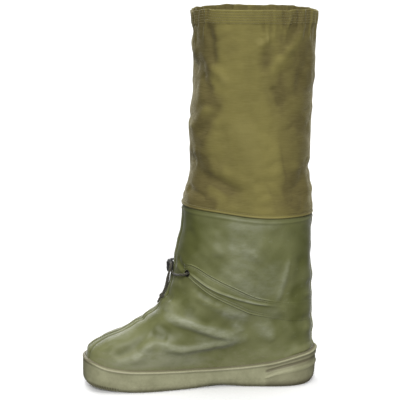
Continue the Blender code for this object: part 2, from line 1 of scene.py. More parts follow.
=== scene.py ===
# Tall lined overshoe, the right shoe of a pair: its looks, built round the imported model.
# Tables are in millimetres and degrees. Angles run round the shoe: 0 toe, 90 medial, 180 heel, 270 lateral.
import math
import bpy
import numpy as np
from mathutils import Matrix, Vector


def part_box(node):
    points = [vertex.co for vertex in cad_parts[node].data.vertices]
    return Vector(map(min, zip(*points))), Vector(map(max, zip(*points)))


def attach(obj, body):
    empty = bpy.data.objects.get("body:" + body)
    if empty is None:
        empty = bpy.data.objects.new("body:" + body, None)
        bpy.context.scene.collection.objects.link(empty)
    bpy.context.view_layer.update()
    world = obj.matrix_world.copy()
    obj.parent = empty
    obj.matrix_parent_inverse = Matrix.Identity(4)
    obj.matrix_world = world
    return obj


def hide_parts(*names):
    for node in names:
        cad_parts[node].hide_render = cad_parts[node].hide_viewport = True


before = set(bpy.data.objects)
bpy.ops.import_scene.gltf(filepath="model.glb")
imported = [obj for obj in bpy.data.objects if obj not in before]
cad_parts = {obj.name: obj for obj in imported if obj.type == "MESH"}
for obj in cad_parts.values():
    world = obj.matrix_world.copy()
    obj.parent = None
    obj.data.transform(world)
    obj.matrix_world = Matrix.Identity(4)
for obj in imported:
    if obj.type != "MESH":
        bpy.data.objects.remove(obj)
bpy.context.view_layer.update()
print("frame loaded,", len(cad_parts), "nodes")

mm = 0.001
body = "root"

cameraSettings = {
    "distance": 1.925,  # metres from the shoe's middle, along the floor
    "height": 0.644,
    "yaw": 5.0,  # degrees that the camera stands towards the toe
    "aimHeight": 0.2655,
    "lens": 125.0,
    "sensor": 36.0,
}


def aimed(place, aim):
    # the turn that points an object from its place to its aim
    return (Vector(aim) - Vector(place)).to_track_quat("-Z", "Y").to_euler()


def makeCamera(settings):
    # stands at (distance cos yaw, -distance sin yaw, height) and looks at the shoe's axis
    yaw = math.radians(settings["yaw"])
    place = Vector((math.cos(yaw), -math.sin(yaw), 0.0)) * settings["distance"]
    place.z = settings["height"]
    data = bpy.data.cameras.new("camera")
    data.lens = settings["lens"]
    data.sensor_width = settings["sensor"]
    camera = bpy.data.objects.new("camera", data)
    camera.location = place
    camera.rotation_euler = aimed(place, (0.0, 0.0, settings["aimHeight"]))
    bpy.context.scene.collection.objects.link(camera)
    bpy.context.scene.camera = camera


makeCamera(cameraSettings)
print("camera placed")

# The last. The same tables and formulas as the solids.
soleShape = {
    "toeY": -169.0,
    "heelY": 166.0,
    "cupWall": 4.5,
    "cupGap": 0.5,
    "toeSpring": 10.0,
    "toeSpringEnd": 0.26,  # places run from 0 at the toe to 1 at the heel
    "archRise": 3.0,
    "archStart": 0.44,
    "archEnd": 0.71,
    "heelBevel": 2.5,
    "heelBevelStart": 0.93,
}

footprintTable = np.array([
    # place, medial, lateral
    (0.00, 9.0, 9.0),
    (0.02, 34.5, -17.5),
    (0.06, 46.0, -35.0),
    (0.12, 52.0, -48.5),
    (0.20, 55.0, -57.5),
    (0.30, 54.0, -61.5),
    (0.40, 48.0, -60.5),
    (0.50, 41.5, -55.5),
    (0.60, 38.5, -50.0),
    (0.70, 40.5, -47.0),
    (0.80, 44.0, -46.5),
    (0.88, 44.0, -45.5),
    (0.95, 35.0, -36.0),
    (1.00, 0.0, 0.0),
])

soleHeights = np.array([
    # place, rim, floor
    (0.00, 47.0, 21.0),
    (0.04, 44.0, 18.5),
    (0.09, 38.0, 16.0),
    (0.16, 34.0, 13.0),
    (0.30, 31.5, 12.0),
    (0.45, 29.5, 13.5),
    (0.58, 29.0, 17.0),
    (0.70, 32.0, 19.0),
    (0.81, 38.0, 20.0),
    (0.90, 45.5, 20.5),
    (1.00, 50.5, 21.0),
])

ringTable = np.array([
    # frontY, frontZ, backY, backZ, dip, footShare, footScale, tubeHalf
    (-164.0, 47.0, 161.0, 50.5, 1.00, 1.00, 1.00, 50.0),
    (-159.0, 59.0, 161.0, 60.0, 0.95, 0.97, 1.00, 60.0),
    (-142.0, 69.5, 160.5, 70.5, 0.75, 0.88, 0.98, 61.0),
    (-106.0, 84.5, 160.5, 82.0, 0.50, 0.72, 0.97, 60.0),
    (-79.0, 102.0, 160.0, 98.0, 0.30, 0.55, 0.96, 59.0),
    (-61.0, 116.0, 160.0, 112.0, 0.15, 0.38, 0.95, 59.0),
    (-47.0, 136.5, 160.0, 131.0, 0.05, 0.20, 0.95, 59.5),
    (-39.0, 164.0, 159.5, 158.0, 0.00, 0.08, 0.95, 60.5),
    (-33.5, 203.0, 158.5, 194.0, 0.00, 0.00, 1.00, 62.0),
    (-24.0, 262.0, 158.0, 248.0, 0.00, 0.00, 1.00, 63.5),
    (-22.5, 275.0, 157.0, 261.0, 0.00, 0.00, 1.00, 63.8),
    (-18.0, 305.0, 155.5, 296.0, 0.00, 0.00, 1.00, 64.2),
    (-14.5, 350.0, 155.0, 345.0, 0.00, 0.00, 1.00, 64.8),
    (-11.5, 415.0, 157.0, 412.0, 0.00, 0.00, 1.00, 65.3),
    (-9.5, 480.0, 160.5, 478.0, 0.00, 0.00, 1.00, 65.8),
    (-10.5, 518.0, 161.0, 517.0, 0.00, 0.00, 1.00, 66.0),
    (-11.5, 535.0, 162.0, 534.0, 0.00, 0.00, 1.00, 66.0),
])
jointLevel = 9.0  # the rings where the textile begins, the upper ends under it, and the top edge lies
lapTopLevel = 10.0
topLevel = 16.0
tubePower = 0.88
fullTurn = 2 * math.pi


def smooth(at, places, values):
    # cubic Hermite through (places, values), each slope taken from the two neighbours
    slopes = np.gradient(values, places)
    left = np.clip(np.searchsorted(places, at, side="right") - 1, 0, len(places) - 2)
    span = places[left + 1] - places[left]
    u = (at - places[left]) / span
    rise = 3 * u**2 - 2 * u**3
    bend = slopes[left] * (u**3 - 2 * u**2 + u) + slopes[left + 1] * (u**3 - u**2)
    return values[left] * (1 - rise) + values[left + 1] * rise + span * bend


def lookUp(table, at, column):
    # the smooth curve of one column of a table over its first
    return smooth(at, table[:, 0], table[:, column])


def ease(value):
    # 0 below 0, 1 above 1, and 3v^2 - 2v^3 between them
    value = np.clip(value, 0.0, 1.0)
    return value * value * (3 - 2 * value)


def bump(distance, width):
    # exp(-(distance / width)^2)
    return np.exp(-((distance / width) ** 2))


def squared(wave, power):
    # sign(wave) * |wave|^power, which squares an ellipse's ends where the power is under 1
    return np.sign(wave) * np.abs(wave) ** power


def gridAngles(columns):
    # equal steps once round
    return np.arange(columns) * fullTurn / columns


def degreesFromFront(angle):
    # degrees round from the toe, either way
    return np.degrees(np.minimum(angle, fullTurn - angle))


def lengthsAlong(path):
    # length of a path up to each of its points
    return np.concatenate([[0.0], np.cumsum(np.linalg.norm(np.diff(path, axis=0), axis=1))])


def unit(vectors):
    # each vector over its length
    return vectors / np.linalg.norm(vectors, axis=-1, keepdims=True)


def placed(centre, *moves):
    # centre + the sum of every amount times its direction
    for amount, direction in moves:
        centre = centre + np.asarray(amount)[..., None] * direction
    return centre


def bumps(distance, layers):
    # sum of bumps, each (height, where, width)
    return sum(height * bump(distance - where, width) for height, where, width in layers)


def footAngles():
    # the footprint's rows once round, angle = arccos(1 - 2 place), with three more at each end to close it
    half = np.arccos(1 - 2 * footprintTable[:, 0])
    angles = np.concatenate([half, fullTurn - half[-2:0:-1]])
    reach = np.concatenate([footprintTable[:, 1], footprintTable[-2:0:-1, 2]])
    angles = np.concatenate([angles[-3:] - fullTurn, angles, angles[:3] + fullTurn])
    return angles, np.concatenate([reach[-3:], reach, reach[:3]])


footprintAngles, footprintReach = footAngles()


def footprint(angle, inset=0.0):
    # (reach(angle), y(angle)) moved inwards along its normal by inset
    def line(a):
        x = smooth(np.mod(a, fullTurn), footprintAngles, footprintReach)
        return x, soleShape["toeY"] + (soleShape["heelY"] - soleShape["toeY"]) * (1 - np.cos(a)) / 2

    x, y = line(angle)
    step = 1e-3
    alongX = line(angle + step)[0] - line(angle - step)[0]
    alongY = line(angle + step)[1] - line(angle - step)[1]
    length = np.hypot(alongX, alongY)
    return x - inset * alongY / length, y + inset * alongX / length


def placeOf(y):
    # (y - toe) / (heel - toe), kept between 0 and 1
    return np.clip((y - soleShape["toeY"]) / (soleShape["heelY"] - soleShape["toeY"]), 0.0, 1.0)


def rimHeight(place):
    # height of the sole's rim
    return lookUp(soleHeights, place, 1)


def floorHeight(place):
    # height of the floor inside the sole
    return lookUp(soleHeights, place, 2)


def treadHeight(place):
    # toe spring (1 - p / end)^2, arch sin^2 and heel bevel squared, 0 between them
    shape = soleShape
    toe = shape["toeSpring"] * np.clip(1 - place / shape["toeSpringEnd"], 0, 1) ** 2
    alongArch = np.clip((place - shape["archStart"]) / (shape["archEnd"] - shape["archStart"]), 0, 1)
    arch = shape["archRise"] * np.sin(np.pi * alongArch) ** 2
    heelShare = np.clip((place - shape["heelBevelStart"]) / (1 - shape["heelBevelStart"]), 0, 1)
    return toe + arch + shape["heelBevel"] * heelShare**2


def skin(angle, level):
    # share of the footprint + (1 - share) of a squared ellipse, between the ring's front and back points
    inset = soleShape["cupWall"] + soleShape["cupGap"]
    footX, footY = footprint(angle, inset)
    toe = soleShape["toeY"] + inset
    heel = soleShape["heelY"] - inset
    along = (footY - toe) / (heel - toe)
    rows = np.arange(len(ringTable), dtype=float)
    frontY, frontZ, backY, backZ, dip, share, scale, half = (
        smooth(level, rows, ringTable[:, column]) for column in range(8)
    )
    straight = rimHeight(0.0) + (rimHeight(1.0) - rimHeight(0.0)) * along
    tubeX = half * squared(np.sin(angle), tubePower)
    x = share * scale * footX + (1 - share) * tubeX
    y = frontY + (backY - frontY) * along
    z = frontZ + (backZ - frontZ) * along - dip * (straight - rimHeight(np.clip(along, 0, 1)))
    return np.stack([x, y, z], axis=-1)


def outward(angle, level):
    # cross product of the skin's two derivatives, made unit
    step = 1e-3
    roundIt = skin(angle + step, level) - skin(angle - step, level)
    upIt = skin(angle, level + step) - skin(angle, level - step)
    return unit(np.cross(roundIt, upIt))


def spreadAt(angle, level):
    # millimetres along the skin for each radian there
    step = 1e-3
    return np.linalg.norm(skin(angle + step, level) - skin(angle, level), axis=-1) / step


def heightOf(angle, level):
    # height of one of the skin's rings
    return skin(angle, np.full(angle.shape, level))[..., 2]


def heightsUp(degrees, levels):
    # heights of the skin up the line at that angle
    return skin(np.full(len(levels), math.radians(degrees)), levels)[:, 2]


def floorRing(angle, inset, rise):
    # the footprint moved in by inset, that much above the sole's floor
    x, y = footprint(angle, inset)
    return np.stack([x, y, floorHeight(placeOf(y)) + rise], axis=-1)


def levelAt(angle, height):
    # bisection for the level at which the skin is that high
    low = np.zeros(np.broadcast(angle, height).shape)
    high = np.full(low.shape, topLevel)
    for _ in range(26):
        middle = (low + high) / 2
        below = skin(angle + 0 * middle, middle)[..., 2] < height
        low = np.where(below, middle, low)
        high = np.where(below, high, middle)
    return (low + high) / 2


def onSkin(route):
    # points of the skin along a given route of (degrees, height), two or three millimetres apart
    route = np.array(route, float)
    steps = np.arange(len(route), dtype=float)
    at = np.linspace(0, steps[-1], 10 * (len(route) - 1) + 1)
    angle = np.radians(smooth(at, steps, route[:, 0]))
    height = smooth(at, steps, route[:, 1])
    return skin(angle, levelAt(angle, height))


def distanceTo(points, line):
    # distance to a polyline, and the share of its length where the nearest point lies
    starts = line[:-1]
    spans = line[1:] - starts
    lengths = np.linalg.norm(spans, axis=1)
    offset = points[:, None, :] - starts[None]
    along = np.clip(np.einsum("pkc,kc->pk", offset, spans) / lengths**2, 0, 1)
    gap = np.linalg.norm(offset - along[..., None] * spans[None], axis=2)
    nearest = gap.argmin(axis=1)
    which = np.arange(len(points))
    before = np.concatenate([[0.0], np.cumsum(lengths)])
    share = (before[nearest] + along[which, nearest] * lengths[nearest]) / before[-1]
    return gap[which, nearest], share


def laid(folds):
    # each route as a line of points on the skin
    return [(lift, width, onSkin(route)) for lift, width, route in folds]


def foldLift(points, folds):
    # sum over the folds of lift * exp(-(distance / width)^2), each fading in and out along its line
    flat = points.reshape(-1, 3)
    total = np.zeros(len(flat))
    for lift, width, line in folds:
        reach = 2.6 * width
        near = np.all((flat > line.min(0) - reach) & (flat < line.max(0) + reach), axis=1)
        if not near.any():
            continue
        gap, share = distanceTo(flat[near], line)
        fade = ease(share / 0.22) * ease((1 - share) / 0.22)
        total[near] += lift * bump(gap, width) * (0.15 + 0.85 * fade)
    return total.reshape(points.shape[:-1])


def ripple(points, wavelength, seed, squeeze=(1.0, 1.0, 1.0)):
    # mean of twelve sine waves in random directions, about -1 to 1
    random = np.random.default_rng(seed)
    total = 0.0
    for _ in range(12):
        direction = random.normal(size=3)
        direction /= np.linalg.norm(direction)
        wave = fullTurn / (wavelength * random.uniform(0.7, 1.5))
        total = total + np.sin(points @ (direction * squeeze) * wave + random.uniform(0, fullTurn))
    return total / 3.5


def rippled(points, layers):
    # sum of ripples, each (height, wavelength, seed) and for some how they are squeezed
    return sum(height * ripple(points, *facts) for height, *facts in layers)


def creases(points, height, wavelength, seed, squeeze):
    # height * (|ripple| - 0.5), whose zero lines are sharp valleys between facets, and
    # exp(-(ripple / 0.15)^2) in them; both fade where a slower ripple is low
    wave = ripple(points, wavelength, seed, squeeze)
    share = ease(0.55 + 0.9 * ripple(points, 1.3 * wavelength, seed + 100))
    return height * share * (np.abs(wave) - 0.5), share * bump(wave, 0.15)


def quadGrid(rows, columns, wrapRows):
    # corner rows and columns of each quad, not yet wrapped
    r, c = np.meshgrid(np.arange(rows if wrapRows else rows - 1), np.arange(columns), indexing="ij")
    r = r.ravel()
    c = c.ravel()
    return np.stack([r, r, r + 1, r + 1], axis=1), np.stack([c, c + 1, c + 1, c], axis=1)


def makeMesh(name, points, loops, starts, finish, uv=None, values=None):
    # a mesh from flat arrays of corners, turned to face outwards if its signed volume is negative
    points = points.reshape(-1, 3) * mm
    totals = np.diff(np.append(starts, len(loops)))
    first = loops[starts]
    volume = 0.0
    for corner in range(1, int(totals.max()) - 1):
        some = totals > corner + 1
        a = points[first[some]]
        b = points[loops[starts[some] + corner]]
        c = points[loops[starts[some] + corner + 1]]
        volume += np.einsum("ij,ij->", a, np.cross(b, c))
    order = np.arange(len(loops))
    if volume < 0:
        ends = np.repeat(starts + totals - 1, totals)
        order = ends - (order - np.repeat(starts, totals))
    mesh = bpy.data.meshes.new(name)
    mesh.vertices.add(len(points))
    mesh.vertices.foreach_set("co", points.ravel())
    mesh.loops.add(len(loops))
    mesh.loops.foreach_set("vertex_index", loops[order].astype(np.int32))
    mesh.polygons.add(len(starts))
    mesh.polygons.foreach_set("loop_start", starts.astype(np.int32))
    mesh.update(calc_edges=True)
    if uv is not None:
        layer = mesh.uv_layers.new(name="weave")
        layer.data.foreach_set("uv", uv[order].ravel())
    for title, value in (values or {}).items():
        attribute = mesh.attributes.new(title, "FLOAT", "POINT")
        attribute.data.foreach_set("value", np.asarray(value, np.float32).ravel())
    mesh.validate()
    mesh.shade_smooth()
    mesh.materials.append(finish)
    made = bpy.data.objects.new(name, mesh)
    bpy.context.scene.collection.objects.link(made)
    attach(made, body)
    return made


def makeSurface(name, points, finish, wrapRows=False, caps=False, uv=None, values=None):
    # a grid of points (rows, columns, 3) in millimetres that closes round its columns; caps close its ends,
    # and uv has one row and one column more
    rows, columns = points.shape[:2]
    r, c = quadGrid(rows, columns, wrapRows)
    loops = ((r % rows) * columns + c % columns).ravel()
    starts = np.arange(len(r)) * 4
    if caps:
        ring = np.arange(columns)
        loops = np.concatenate([loops, ring[::-1], ring + (rows - 1) * columns])
        starts = np.append(starts, [len(r) * 4, len(r) * 4 + columns])
    corners = None if uv is None else uv[r, c].reshape(-1, 2)
    return makeMesh(name, points, loops, starts, finish, corners, values)


def makeCopies(name, template, faces, frames, finish, values=None):
    # many small copies as one mesh: point = centre + x * side + y * across + z * up for each frame
    centres, *ways = frames
    points = placed(centres[:, None], *((template[:, axis], way[:, None]) for axis, way in enumerate(ways)))
    corners = np.concatenate([np.array(face) for face in faces])
    totals = np.array([len(face) for face in faces])
    copies = len(centres)
    loops = (corners[None] + np.arange(copies)[:, None] * len(template)).ravel()
    starts = (np.cumsum(totals) - totals)[None] + np.arange(copies)[:, None] * len(corners)
    return makeMesh(name, points, loops, starts.ravel(), finish, values=values)


def alongPath(path, profile):
    # rings of a profile (count, 2) carried along a path, its frame turned as little as possible
    path = np.asarray(path, float)
    tangent = unit(np.gradient(path, axis=0))
    side = np.zeros_like(path)
    start = np.array([0.0, 0.0, 1.0]) if abs(tangent[0, 2]) < 0.9 else np.array([1.0, 0.0, 0.0])
    side[0] = unit(np.cross(tangent[0], start))
    for i in range(1, len(path)):
        side[i] = unit(side[i - 1] - tangent[i] * (side[i - 1] @ tangent[i]))
    up = np.cross(tangent, side)
    return placed(path[:, None], (profile[..., 0], side[:, None]), (profile[..., 1], up[:, None]))


# Materials. Object coordinates are in metres, so a noise of scale 1000 has grains of about a millimetre.


def startMaterial(name):
    # a material, its node tree and its shader
    made = bpy.data.materials.new(name)
    made.use_nodes = True
    return made, made.node_tree, made.node_tree.nodes["Principled BSDF"]


def fill(tree, node, sockets):
    # each socket is set, or linked where the value is another node's output
    for key, value in sockets.items():
        if isinstance(value, bpy.types.NodeSocket):
            tree.links.new(value, node.inputs[key])
        else:
            node.inputs[key].default_value = value


def addNode(tree, kind, sockets=None, **settings):
    # a new node with its settings made and its sockets filled
    made = tree.nodes.new(kind)
    for key, value in settings.items():
        setattr(made, key, value)
    fill(tree, made, sockets or {})
    return made


def objectPlace(tree, stretch=(1.0, 1.0, 1.0)):
    # object coordinates, each times its stretch
    place = addNode(tree, "ShaderNodeTexCoord").outputs["Object"]
    return addNode(tree, "ShaderNodeMapping", {"Vector": place, "Scale": stretch}).outputs["Vector"]


def noise(tree, place, scale, detail=4.0, roughness=0.55):
    # cloudy values round 0.5, as many to a metre as the scale
    sockets = {"Vector": place, "Scale": scale, "Detail": detail, "Roughness": roughness}
    return addNode(tree, "ShaderNodeTexNoise", sockets).outputs["Fac"]


def remap(tree, value, low, high, toLow=0.0, toHigh=1.0):
    # toLow at low, toHigh at high, straight between them and flat beyond
    sockets = {"Value": value, "From Min": low, "From Max": high, "To Min": toLow, "To Max": toHigh}
    return addNode(tree, "ShaderNodeMapRange", sockets).outputs["Result"]


def attribute(tree, name):
    # a value that the mesh carries at its points
    return addNode(tree, "ShaderNodeAttribute", attribute_name=name).outputs["Fac"]


def calculate(tree, operation, first, second):
    # one operation on two values
    return addNode(tree, "ShaderNodeMath", {0: first, 1: second}, operation=operation).outputs[0]


def colour(values):
    # red, green and blue, opaque
    return (*values, 1.0)


def blendColours(tree, share, first, second):
    # first * (1 - share) + second * share
    sockets = {0: share, 6: first, 7: second}
    return addNode(tree, "ShaderNodeMix", sockets, data_type="RGBA").outputs[2]


def shareOf(tree, *factors):
    # product of its factors, each (value, low, high, toLow, toHigh) as remap takes them
    share = remap(tree, *factors[0])
    for factor in factors[1:]:
        share = calculate(tree, "MULTIPLY", share, remap(tree, *factor))
    return share


def paint(tree, first, coats):
    # a colour with coats of others over it, each (colour, factors of its share)
    tone = colour(first)
    for values, *factors in coats:
        tone = blendColours(tree, shareOf(tree, *factors), tone, colour(values))
    return tone


def heightSocket(tree, place):
    # metres above the ground
    return addNode(tree, "ShaderNodeSeparateXYZ", {"Vector": place}).outputs["Z"]


def addBump(tree, shader, layers):
    # bumps on bumps: each layer is (height socket, strength, distance in metres)
    below = {}
    for height, strength, distance in layers:
        sockets = {"Height": height, "Strength": strength, "Distance": distance, **below}
        below = {"Normal": addNode(tree, "ShaderNodeBump", sockets).outputs["Normal"]}
    fill(tree, shader, below)


# Colours are linear, as a shader takes them.
clothColours = {
    "base": (0.160, 0.168, 0.070),
    "shade": (0.122, 0.130, 0.046),
    # deep: painted shade, where the painted light is below 0
    "deep": (0.082, 0.089, 0.022),
    # worn: painted highlight where the painted light is above 0, and scuffs at random
    "worn": (0.255, 0.266, 0.178),
    "dust": (0.190, 0.180, 0.105),
}


def makeCoatedCloth():
    # rubber-coated cloth: mottled olive with chalky scuffs at random, a painted highlight on its folds and
    # painted shade in its hollows, dusty low down
    made, tree, shader = startMaterial("coatedCloth")
    colours = clothColours
    place = objectPlace(tree)
    patches = noise(tree, place, 17.0, 5.0, 0.6)
    marks = noise(tree, objectPlace(tree, (1.0, 1.0, 2.2)), 90.0, 6.0, 0.7)
    paintedLight = attribute(tree, "paintedLight")
    scuffs = (marks, 0.60, 0.74, 0.0, 0.5), (patches, 0.42, 0.60)
    tone = paint(tree, colours["shade"], [
        (colours["base"], (patches, 0.36, 0.66)),
        # painted shade where the painted light is below 0, then a painted highlight where it is above
        (colours["deep"], (paintedLight, -0.1, -1.1, 0.0, 0.85)),
        (colours["worn"], (paintedLight, 0.1, 1.2, 0.0, 0.85), (marks, 0.36, 0.62, 0.45, 1.0)),
        (colours["worn"], *scuffs),
        (colours["dust"], (heightSocket(tree, place), 0.075, 0.035, 0.0, 0.45), (marks, 0.38, 0.6)),
    ])
    uneven = calculate(tree, "ADD", patches, shareOf(tree, *scuffs))
    fill(tree, shader, {
        "Base Color": tone,
        "Roughness": remap(tree, uneven, 0.35, 0.95, 0.47, 0.64),
        "Specular IOR Level": 0.37,
        "Sheen Weight": 0.32,
        "Sheen Roughness": 0.3,
    })
    grain = addNode(tree, "ShaderNodeTexVoronoi", {"Vector": place, "Scale": 1300.0}).outputs["Distance"]
    addBump(tree, shader, [
        (noise(tree, place, 42.0, 4.0, 0.5), 0.35, 0.0016),
        (noise(tree, place, 210.0, 5.0, 0.6), 0.30, 0.0004),
        (grain, 0.20, 0.00015),
    ])
    return made


textileColours = {
    "base": (0.218, 0.190, 0.055),
    "shade": (0.146, 0.126, 0.036),
    # deep: painted shade, where the painted light is below 0
    "deep": (0.094, 0.074, 0.025),
    # worn: painted highlight where the painted light is above 0, and paler slubs at random
    "worn": (0.300, 0.264, 0.098),
    "sheen": (0.62, 0.58, 0.42),
}
threadSpacing = 0.75  # millimetres


def threads(tree, direction):
    # bands across the weave, one for each thread: a wave texture's period is pi / 10 over its scale
    place = addNode(tree, "ShaderNodeUVMap", uv_map="weave").outputs["UV"]
    sockets = {"Vector": place, "Scale": math.pi / 10 / threadSpacing, "Distortion": 0.6, "Detail": 1.0}
    return addNode(tree, "ShaderNodeTexWave", sockets, bands_direction=direction).outputs["Fac"]


def makeTextile():
    # plain weave: warp and weft bumps, uneven threads, paler patches at random, a painted highlight on its
    # folds' ridges and painted shade in their hollows
    made, tree, shader = startMaterial("textile")
    colours = textileColours
    patches = noise(tree, objectPlace(tree, (1.0, 1.0, 0.45)), 11.0, 4.0, 0.6)
    slubs = noise(tree, objectPlace(tree, (1.0, 1.0, 9.0)), 85.0, 3.0, 0.6)
    paintedLight = attribute(tree, "paintedLight")
    weave = calculate(tree, "MAXIMUM", threads(tree, "X"), threads(tree, "Y"))
    tone = paint(tree, colours["shade"], [
        (colours["base"], (patches, 0.34, 0.62)),
        # painted shade where the painted light is below 0, a painted highlight where it is above
        (colours["deep"], (paintedLight, -0.05, -1.1, 0.0, 0.9)),
        (colours["worn"], (paintedLight, 0.1, 1.1, 0.0, 0.75)),
        (colours["worn"], (slubs, 0.35, 0.7, 0.0, 0.22)),
        (colours["shade"], (weave, 0.9, 0.2, 0.0, 0.30)),
    ])
    fill(tree, shader, {
        "Base Color": tone,
        "Roughness": 0.82,
        "Specular IOR Level": 0.25,
        "Sheen Weight": 0.62,
        "Sheen Roughness": 0.3,
        "Sheen Tint": colour(colours["sheen"]),
    })
    addBump(tree, shader, [
        (noise(tree, objectPlace(tree), 60.0, 4.0, 0.5), 0.30, 0.0012),
        (weave, 0.55, 0.00022),
    ])
    return made


rubberColours = {
    "base": (0.312, 0.309, 0.188),
    "shade": (0.204, 0.202, 0.112),
    # dust: painted highlight on the proud edges
    "dust": (0.355, 0.335, 0.225),
    "dirtAndPaintedShade": (0.120, 0.105, 0.060),
}


def makeSoleRubber():
    # matt khaki rubber: mottled, a pale painted highlight on its proud edges, painted shade in its grooves,
    # and dirt specks along the tread
    made, tree, shader = startMaterial("soleRubber")
    colours = rubberColours
    place = objectPlace(tree)
    patches = noise(tree, place, 26.0, 5.0, 0.62)
    specks = noise(tree, place, 240.0, 4.0, 0.7)
    paintedLight = attribute(tree, "paintedLight")
    tone = paint(tree, colours["shade"], [
        (colours["base"], (patches, 0.30, 0.64)),
        # painted highlight where the painted light is above 0, painted shade where it is below
        (colours["dust"], (paintedLight, 0.2, 1.0, 0.0, 0.7)),
        (colours["dirtAndPaintedShade"], (paintedLight, -0.2, -1.0, 0.0, 0.8)),
        (colours["dirtAndPaintedShade"], (heightSocket(tree, place), 0.016, 0.003, 0.1, 0.4), (specks, 0.40, 0.62)),
    ])
    fill(tree, shader, {
        "Base Color": tone,
        "Roughness": remap(tree, patches, 0.3, 0.7, 0.52, 0.74),
        "Specular IOR Level": 0.4,
    })
    addBump(tree, shader, [
        (noise(tree, place, 75.0, 4.0, 0.5), 0.30, 0.0009),
        (specks, 0.35, 0.0003),
    ])
    return made


pileColours = {"tip": (0.240, 0.214, 0.072), "root": (0.080, 0.068, 0.022)}


def makePile():
    # woolly pile: each lock has its own shade, pale at the tip and dark at the root
    made, tree, shader = startMaterial("pile")
    place = objectPlace(tree)
    tip = pileColours["tip"]
    root = pileColours["root"]
    tone = paint(tree, root, [
        (tip, (attribute(tree, "tip"), 0.0, 0.85)),
        (root, (attribute(tree, "shade"), 0.0, 1.0, 0.0, 0.45)),
        (root, (noise(tree, place, 30.0), 0.4, 0.65, 0.0, 0.3)),
    ])
    fill(tree, shader, {
        "Base Color": tone,
        "Roughness": 0.95,
        "Specular IOR Level": 0.15,
        "Sheen Weight": 0.5,
        "Sheen Roughness": 0.4,
        "Sheen Tint": colour(tip),
    })
    addBump(tree, shader, [(noise(tree, place, 700.0, 4.0, 0.7), 0.8, 0.0008)])
    return made


def makeFelt():
    # pressed felt: short matted fibres in every direction
    made, tree, shader = startMaterial("felt")
    place = objectPlace(tree)
    fibres = noise(tree, place, 520.0, 6.0, 0.75)
    tone = paint(tree, (0.115, 0.095, 0.038), [((0.235, 0.205, 0.095), (fibres, 0.35, 0.65))])
    sockets = {"Base Color": tone, "Roughness": 0.95, "Specular IOR Level": 0.15, "Sheen Weight": 0.3}
    fill(tree, shader, sockets)
    addBump(tree, shader, [(noise(tree, place, 45.0), 0.4, 0.001), (fibres, 0.6, 0.0005)])
    return made


def makeCordFinish():
    # braided cord, nearly black, with a painted highlight on the humps of its strands and paler worn fibres
    # at random
    made, tree, shader = startMaterial("cordBraid")
    fibres = noise(tree, objectPlace(tree), 900.0, 5.0, 0.7)
    tone = paint(tree, (0.022, 0.020, 0.013), [
        # painted highlight on the humps of the strands
        ((0.085, 0.078, 0.050), (attribute(tree, "paintedLight"), 0.0, 1.0)),
        ((0.150, 0.138, 0.092), (fibres, 0.5, 0.75, 0.0, 0.5)),
    ])
    sockets = {"Base Color": tone, "Roughness": 0.85, "Specular IOR Level": 0.3, "Sheen Weight": 0.25}
    fill(tree, shader, sockets)
    addBump(tree, shader, [(fibres, 0.7, 0.0003)])
    return made


def makeLockPlastic():
    # moulded black plastic with fine sparks and rubbed edges
    made, tree, shader = startMaterial("lockPlastic")
    place = objectPlace(tree)
    rubs = noise(tree, place, 320.0, 5.0, 0.65)
    tone = paint(tree, (0.016, 0.016, 0.016), [((0.062, 0.060, 0.052), (rubs, 0.50, 0.72))])
    fill(tree, shader, {"Base Color": tone, "Roughness": remap(tree, rubs, 0.35, 0.7, 0.28, 0.5)})
    addBump(tree, shader, [(noise(tree, place, 1500.0, 3.0, 0.6), 0.25, 0.0002)])
    return made


def makeEyeletMetal():
    # blackened brass, rubbed bright in spots
    made, tree, shader = startMaterial("eyeletMetal")
    place = objectPlace(tree)
    rubs = noise(tree, place, 420.0, 5.0, 0.65)
    tone = paint(tree, (0.045, 0.042, 0.036), [((0.30, 0.285, 0.235), (rubs, 0.48, 0.66))])
    gloss = remap(tree, rubs, 0.4, 0.7, 0.42, 0.26)
    fill(tree, shader, {"Base Color": tone, "Roughness": gloss, "Metallic": 1.0})
    addBump(tree, shader, [(noise(tree, place, 1300.0, 4.0, 0.6), 0.2, 0.0002)])
    return made


def makeThreadFinish(name, light, dark):
    # sewing thread, its plies a fine slanted ripple
    made, tree, shader = startMaterial(name)
    fuzz = noise(tree, objectPlace(tree), 1600.0, 4.0, 0.7)
    tone = paint(tree, dark, [(light, (fuzz, 0.35, 0.65))])
    fill(tree, shader, {"Base Color": tone, "Roughness": 0.7, "Sheen Weight": 0.2})
    addBump(tree, shader, [(fuzz, 0.5, 0.0002)])
    return made


coatedCloth = makeCoatedCloth()
textile = makeTextile()
soleRubber = makeSoleRubber()
pile = makePile()
felt = makeFelt()
cordBraid = makeCordFinish()
lockPlastic = makeLockPlastic()
eyeletMetal = makeEyeletMetal()
clothThread = makeThreadFinish("clothThread", (0.165, 0.170, 0.080), (0.110, 0.115, 0.048))
textileThread = makeThreadFinish("textileThread", (0.245, 0.214, 0.076), (0.140, 0.119, 0.042))
print("materials made")

# Drawcords. Each runs from its eyelet, through its bore of the lock, down to the knot.
cordShape = {
    "diameter": 3.0,
    "strands": 8,  # humps of the braid round the cord
    "lay": 4.2,  # length of one turn of a strand
    "hump": 0.16,
    "proud": 0.08,  # of the plain cord
    "round": 16,
    "step": 0.55,  # between rings
}

